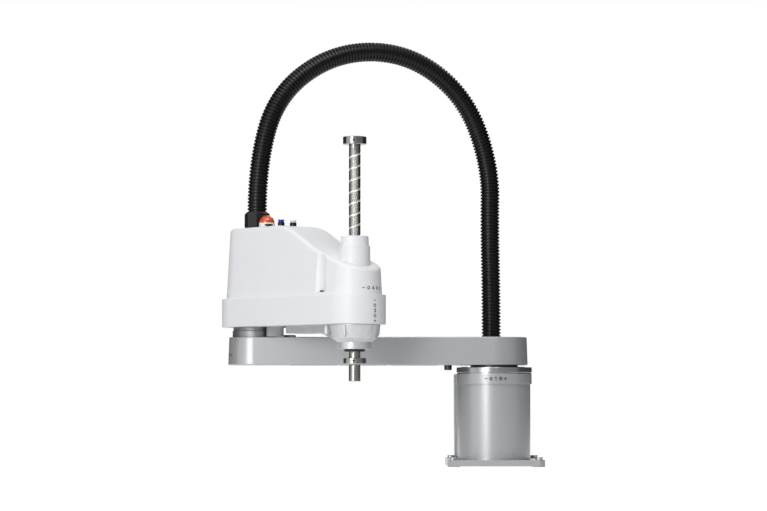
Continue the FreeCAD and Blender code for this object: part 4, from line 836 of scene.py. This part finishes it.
def stroke_quads(points, width):
    """Corners of one quad for each run of a stroke, a little longer than the run."""
    quads = []
    for (x0, y0), (x1, y1) in zip(points, points[1:]):
        run = Vector((x1 - x0, y1 - y0)).normalized() * width / 2
        side = Vector((-run.y, run.x))
        start = Vector((x0, y0)) - run
        end = Vector((x1, y1)) + run
        quads.append((start - side, end - side, end + side, start + side))
    return quads


def arm1_radius(level):
    """Radius of a mark on arm 1's elbow end at a height, in millimetres."""
    bottom_radius = (elbow_axis.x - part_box("arm1_casting")[0][0]) / MM
    return bottom_radius + RAISED - (level - ARM1_BOTTOM) * ARM1_DRAFT


def cover_nose_radius(level):
    """Radius of a mark on the cover's nose at a height, in millimetres."""
    band_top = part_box("arm2_lower_cover")[1][2] / MM
    return COVER_NOSE_RADIUS + RAISED - (level - band_top) * COVER_DRAFT


def mark_row(digit, axis, radius_at, heading, height, pitch, upright):
    """Quads of minus, ring, digit, ring and plus, wrapped on a form about a standing axis."""
    signs = (MINUS, RING, DIGITS[digit], RING, PLUS)
    vertices = []
    faces = []
    for index, sign in enumerate(signs):
        shift = (index - (len(signs) - 1) / 2) * pitch
        for points in sign:
            for quad in stroke_quads(points, STROKE):
                start = len(vertices)
                for corner in quad:
                    along, up = corner * SIGN_SCALE
                    if upright:
                        up -= shift
                    else:
                        along += shift
                    level = height + up
                    radius = radius_at(level)
                    turn = heading + along / radius
                    vertices.append(Vector((axis[0] / MM + radius * math.cos(turn),
                                            axis[1] / MM + radius * math.sin(turn), level)) * MM)
                faces.append((start, start + 1, start + 2, start + 3))
    return vertices, faces


def make_mark(name, body, node_slot, *row, upright=False):
    vertices, faces = mark_row(*row, upright)
    piece = finish_mesh(name, vertices, faces, "ink")
    thickness = piece.modifiers.new("Paint", "SOLIDIFY")
    thickness.thickness = 0.06 * MM
    thickness.offset = 1.0
    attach(piece, body)


class ROBOT_OT_marks(RobotPiece, bpy.types.Operator):
    """Make the signs that number the joints and show their directions"""
    bl_idname = "robot.marks"
    bl_label = "Joint marks"

    def execute(self, context):
        tip = math.atan2(arm2_along.y, arm2_along.x)
        elbow = elbow_axis.to_2d()
        shaft = shaft_axis.to_2d()
        make_mark("joint_1_mark", "base", "paint_silver", "1", (0, 0),
                  lambda level: COLUMN_RADIUS + RAISED, math.radians(-90), 154, 8.6)
        make_mark("joint_2_mark", "arm1", "paint_silver", "2", elbow,
                  arm1_radius, math.radians(190), 196, 8.6)
        make_mark("joint_3_mark", "arm2", "cover_white", "3", shaft,
                  lambda level: BAND_RADIUS + RAISED, tip, 267.5, 8.7, upright=True)
        make_mark("joint_4_mark", "arm2", "cover_white", "4", shaft,
                  cover_nose_radius, tip + math.radians(3), 306, 9.6)
        return {"FINISHED"}


# Panel: contacts inside the sockets and ports

def opening_box(name):
    item = [entry for entry in frame["record"]["physics"]["openings"] if entry["name"] == name][0]
    low, high = item["box_m"]
    return Vector(low), Vector(high)


def pin(radius, reach):
    profile = [(0.0, 0.0), (radius, 0.0), (radius, reach - radius), (radius / 2, reach),
               (0.0, reach)]
    return lathe(profile, 12, closed=False)


def make_contacts(name, finish, parts):
    vertices, faces = joined(parts)
    piece = finish_mesh(name, vertices, faces, finish)
    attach(piece, "base")


class ROBOT_OT_contacts(RobotPiece, bpy.types.Operator):
    """Make the insulators and gold contacts inside the two cable sockets and the two user ports"""
    bl_idname = "robot.contacts"
    bl_label = "Contacts"

    def execute(self, context):
        rearwards = (0, 1, 0)
        insulators = []
        contacts = []
        # cable sockets: a round insulator on the mouth's floor with two rings of contacts
        floor_gap, insulator_radius, insulator_height, reach = 0.3, 10.8, 3.0, 9.0
        inner_ring, outer_ring, thick, thin = 3.2, 7.4, 1.1, 0.7
        for name, inner, outer in (("power_socket_mouth", 3, 6), ("signal_socket_mouth", 6, 12)):
            low, high = opening_box(name)
            middle = Vector(((low.x + high.x) / 2, low.y - floor_gap * MM, (low.z + high.z) / 2))
            disc, disc_faces = lathe([(0.0, 0.0), (insulator_radius, 0.0),
                                      (insulator_radius, insulator_height), (0.0, insulator_height)],
                                     48, closed=False)
            insulators.append((moved(disc, middle, rearwards), disc_faces))
            for count, ring_radius in ((inner, inner_ring), (outer, outer_ring)):
                body, body_faces = pin(thick if count < 7 else thin, reach)
                for step in range(count):
                    turn = 2 * math.pi * step / count
                    offset = Vector((math.cos(turn), 0.0, math.sin(turn))) * ring_radius * MM
                    contacts.append((moved(body, middle + offset, rearwards), body_faces))
        # user ports: two straight rows of thin contacts, the second half a pitch along
        port_gap, port_pin, port_reach, row_height, margin = 0.2, 0.5, 3.6, 1.4, 0.1
        for name, columns in (("wide_port_mouth", 8), ("narrow_port_mouth", 5)):
            low, high = opening_box(name)
            body, body_faces = pin(port_pin, port_reach)
            width = high.x - low.x
            pitch = width * (1 - 2 * margin) / (columns - 1)
            for row, shift in ((-1, 0.0), (1, 0.5)):
                for column in range(columns - (row > 0)):
                    place = Vector((low.x + width * margin + (column + shift) * pitch,
                                    low.y - port_gap * MM,
                                    (low.z + high.z) / 2 - row * row_height * MM))
                    contacts.append((moved(body, place, rearwards), body_faces))
        make_contacts("socket_insulators", "black", insulators)
        make_contacts("panel_contacts", "gold", contacts)
        return {"FINISHED"}


# Arm 2's casting: stiffening ribs and screw bosses on the bowl

class ROBOT_OT_bowl_ribs(RobotPiece, bpy.types.Operator):
    """Make the ribs on the bowl under the cover and the screw bosses beside the beam"""
    bl_idname = "robot.bowl_ribs"
    bl_label = "Bowl ribs"

    def execute(self, context):
        low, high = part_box("arm2_casting")
        snout_low, band_low = low[2] / MM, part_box("arm2_lower_cover")[0][2] / MM
        tip = math.atan2(arm2_along.y, arm2_along.x)
        half = 2.0
        rib_turn = math.radians(64)
        boss_along, boss_across, boss_height = 233.0, 27.0, 14.0
        # outline of a rib, from the snout's shoulder up to the rim, sunk a little in the bowl
        rib = [(27.5, snout_low + 11.5), (28.6, snout_low + 11.5), (42.8, snout_low + 24.0),
               (44.6, band_low - 3.0), (44.6, band_low - 0.4), (27.5, band_low - 0.4)]
        parts = []
        for turn in (tip, tip - rib_turn, tip + rib_turn):
            outward = Vector((math.cos(turn), math.sin(turn), 0.0))
            across = Vector((-outward.y, outward.x, 0.0))
            vertices = []
            for side in (-half, half):
                for radius, height in rib:
                    point = outward * radius + across * side
                    vertices.append(Vector((shaft_axis.x / MM + point.x, shaft_axis.y / MM + point.y,
                                            height)) * MM)
            count = len(rib)
            faces = [tuple(range(count)), tuple(reversed(range(count, 2 * count)))]
            faces += [(step, (step + 1) % count, count + (step + 1) % count, count + step)
                      for step in range(count)]
            parts.append((vertices, faces))
        vertices, faces = joined(parts)
        piece = finish_mesh("bowl_ribs", vertices, faces, "casting")
        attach(piece, "arm2")
        boss, boss_faces = lathe([(0.0, 0.0), (1.6, 0.0), (1.6, -2.0), (4.6, -2.0), (5.2, -1.4),
                                  (5.2, boss_height), (0.0, boss_height)], 32, closed=False)
        foot = band_low - boss_height - 0.4
        parts = [(moved(boss, on_arm2(boss_along, side * boss_across, foot)), boss_faces)
                 for side in (-1, 1)]
        vertices, faces = joined(parts)
        piece = finish_mesh("bowl_screw_bosses", vertices, faces, "casting")
        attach(piece, "arm2")
        return {"FINISHED"}


# Stage: lamps, cards and camera, with places in metres

CAMERA_PLACE = (-0.1967, -4.5, 0.1305)
CAMERA_TILT = 3.09
CAMERA_LENS = 118.7
LEFT_LAMP = ((-1.38, -2.4, 0.68), (-0.22, 0.0, 0.62), 0.85, 1.3)
TOP_LAMP = ((-0.25, -1.1, 2.0), (-0.22, 0.0, 0.2), 1.2, 0.8)
TOP_LAMP_SHARE = 0.65
FLAG_HEIGHT = 2.4
# name, start, end and glow of each card
FLAGS = (("front flag", (-1.7, -4.9), (0.1, -4.9), 0.25),
         ("left flag", (-1.7, -0.25), (-1.7, 3.0), 0.04),
         ("right front flag", (0.22, -3.5), (1.5, -0.45), 0.3),
         ("right back flag", (1.5, -0.45), (1.6, 2.6), 0.04),
         ("back flag left", (-1.7, 3.0), (-0.5, 4.2), 0.04),
         ("back flag right", (0.5, 4.2), (1.6, 2.6), 0.04))


def seen_directly(tree):
    """1 for camera, glossy and transmitted rays, which show the white backdrop."""
    rays = add_node(tree, "ShaderNodeLightPath")
    glossy = add_node(tree, "ShaderNodeMath", {0: rays.outputs["Is Glossy Ray"],
                                               1: rays.outputs["Is Transmission Ray"]},
                      operation="MAXIMUM")
    both = add_node(tree, "ShaderNodeMath", {0: rays.outputs["Is Camera Ray"],
                                             1: glossy.outputs[0]}, operation="MAXIMUM")
    return both.outputs[0]


def make_world(strength):
    world = bpy.data.worlds.new("Studio")
    tree = empty_tree(world)
    direction = add_node(tree, "ShaderNodeTexCoord").outputs["Generated"]
    axes = add_node(tree, "ShaderNodeSeparateXYZ", {"Vector": direction})
    # the room is lighter overhead and on the left, and darker on the right
    side = add_node(tree, "ShaderNodeMapRange", {"Value": axes.outputs["X"], "From Min": -1.0,
                                                 "From Max": 1.0, "To Min": 1.2, "To Max": 0.55})
    lift = add_node(tree, "ShaderNodeMapRange", {"Value": axes.outputs["Z"], "From Min": -0.3,
                                                 "From Max": 1.0, "To Min": 0.75, "To Max": 1.3})
    level = add_node(tree, "ShaderNodeMath", {0: side.outputs[0], 1: lift.outputs[0]},
                     operation="MULTIPLY")
    room_level = add_node(tree, "ShaderNodeMath", {0: level.outputs[0], 1: strength},
                          operation="MULTIPLY")
    room = add_node(tree, "ShaderNodeBackground", {"Strength": room_level.outputs[0]})
    backdrop = add_node(tree, "ShaderNodeBackground", {"Color": (1.0, 1.0, 1.0, 1.0),
                                                       "Strength": 1.0})
    seen = seen_directly(tree)
    mixed = add_node(tree, "ShaderNodeMixShader", {0: seen, 1: room.outputs[0],
                                                   2: backdrop.outputs[0]})
    add_node(tree, "ShaderNodeOutputWorld", {"Surface": mixed.outputs[0]})
    bpy.context.scene.world = world


def make_floor(half):
    material = bpy.data.materials.new("White paper floor")
    tree = empty_tree(material)
    paper = add_node(tree, "ShaderNodeBsdfDiffuse", {"Color": (0.8, 0.8, 0.8, 1.0)})
    shade = add_node(tree, "ShaderNodeBsdfDiffuse", {"Color": (0.5, 0.5, 0.5, 1.0)})
    glow = add_node(tree, "ShaderNodeEmission", {"Strength": 0.82})
    lit = add_node(tree, "ShaderNodeAddShader", {0: shade.outputs[0], 1: glow.outputs[0]})
    seen = seen_directly(tree)
    mixed = add_node(tree, "ShaderNodeMixShader", {0: seen, 1: paper.outputs[0],
                                                   2: lit.outputs[0]})
    add_node(tree, "ShaderNodeOutputMaterial", {"Surface": mixed.outputs[0]})
    mesh = bpy.data.meshes.new("floor")
    level = -0.5 * MM
    mesh.from_pydata([(-half, -half, level), (half, -half, level), (half, half, level),
                      (-half, half, level)], [], [(0, 1, 2, 3)])
    mesh.materials.append(material)
    floor = bpy.data.objects.new("floor", mesh)
    bpy.context.scene.collection.objects.link(floor)


def add_flag(name, start, end, glow):
    """Upright card beside the set, out of the camera's sight, that metal reflects."""
    material = bpy.data.materials.new(name)
    tree = empty_tree(material)
    card = add_node(tree, "ShaderNodeEmission", {"Color": (1.0, 1.0, 1.0, 1.0), "Strength": glow})
    add_node(tree, "ShaderNodeOutputMaterial", {"Surface": card.outputs[0]})
    mesh = bpy.data.meshes.new(name)
    corners = [(*start, 0.0), (*end, 0.0), (*end, FLAG_HEIGHT), (*start, FLAG_HEIGHT)]
    mesh.from_pydata(corners, [], [(0, 1, 2, 3)])
    mesh.materials.append(material)
    flag = bpy.data.objects.new(name, mesh)
    bpy.context.scene.collection.objects.link(flag)
    flag.visible_camera = False
    flag.visible_diffuse = False
    flag.visible_shadow = False


def add_lamp(name, place, target, width, height, power):
    lamp = bpy.data.lights.new(name, "AREA")
    lamp.shape = "RECTANGLE"
    lamp.size = width
    lamp.size_y = height
    lamp.energy = power
    carrier = bpy.data.objects.new(name, lamp)
    carrier.location = place
    carrier.rotation_euler = (Vector(target) - Vector(place)).to_track_quat("-Z", "Y").to_euler()
    bpy.context.scene.collection.objects.link(carrier)


class ROBOT_OT_stage(RobotPiece, bpy.types.Operator):
    """Set up camera, floor, lamps and room"""
    bl_idname = "robot.stage"
    bl_label = "Stage"

    def execute(self, context):
        settings = context.scene.robot_stage
        camera_data = bpy.data.cameras.new("camera")
        camera_data.sensor_width = 36.0
        camera_data.lens = CAMERA_LENS
        camera = bpy.data.objects.new("camera", camera_data)
        camera.location = CAMERA_PLACE
        camera.rotation_euler = (math.radians(90 + CAMERA_TILT), 0.0, 0.0)
        context.scene.collection.objects.link(camera)
        context.scene.camera = camera
        context.scene.view_settings.view_transform = "Standard"
        make_world(settings.fill)
        make_floor(settings.floor_size)
        add_lamp("left softbox", *LEFT_LAMP, settings.key)
        add_lamp("top softbox", *TOP_LAMP, settings.key * TOP_LAMP_SHARE)
        for flag in FLAGS:
            add_flag(*flag)
        return {"FINISHED"}


class ROBOT_PT_panel(bpy.types.Panel):
    """Lists the pieces that can be made"""
    bl_label = "Assembly robot"
    bl_idname = "ROBOT_PT_panel"
    bl_space_type = "VIEW_3D"
    bl_region_type = "UI"
    bl_category = "Robot"

    def draw(self, context):
        for group in ("robot_finish", "robot_duct", "robot_shaft", "robot_stage"):
            settings = getattr(context.scene, group)
            box = self.layout.box()
            for name in settings.__annotations__:
                box.prop(settings, name)
        for operator in OPERATORS:
            self.layout.operator(operator.bl_idname)


SETTINGS = {"robot_finish": RobotFinishSettings, "robot_duct": RobotDuctSettings,
            "robot_shaft": RobotShaftSettings, "robot_stage": RobotStageSettings}
OPERATORS = (ROBOT_OT_stage, ROBOT_OT_finishes, ROBOT_OT_duct, ROBOT_OT_shaft, ROBOT_OT_ring,
             ROBOT_OT_base_bolts, ROBOT_OT_marks, ROBOT_OT_contacts, ROBOT_OT_bowl_ribs)


def register():
    for name, group in SETTINGS.items():
        bpy.utils.register_class(group)
        setattr(bpy.types.Scene, name, bpy.props.PointerProperty(type=group))
    for item in OPERATORS:
        bpy.utils.register_class(item)
    bpy.utils.register_class(ROBOT_PT_panel)


def unregister():
    bpy.utils.unregister_class(ROBOT_PT_panel)
    for item in reversed(OPERATORS):
        bpy.utils.unregister_class(item)
    for name, group in SETTINGS.items():
        delattr(bpy.types.Scene, name)
        bpy.utils.unregister_class(group)


def main():
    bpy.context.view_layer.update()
    register()
    for operator in OPERATORS:
        family, name = operator.bl_idname.split(".")
        getattr(getattr(bpy.ops, family), name)()


if __name__ == "__main__":
    main()
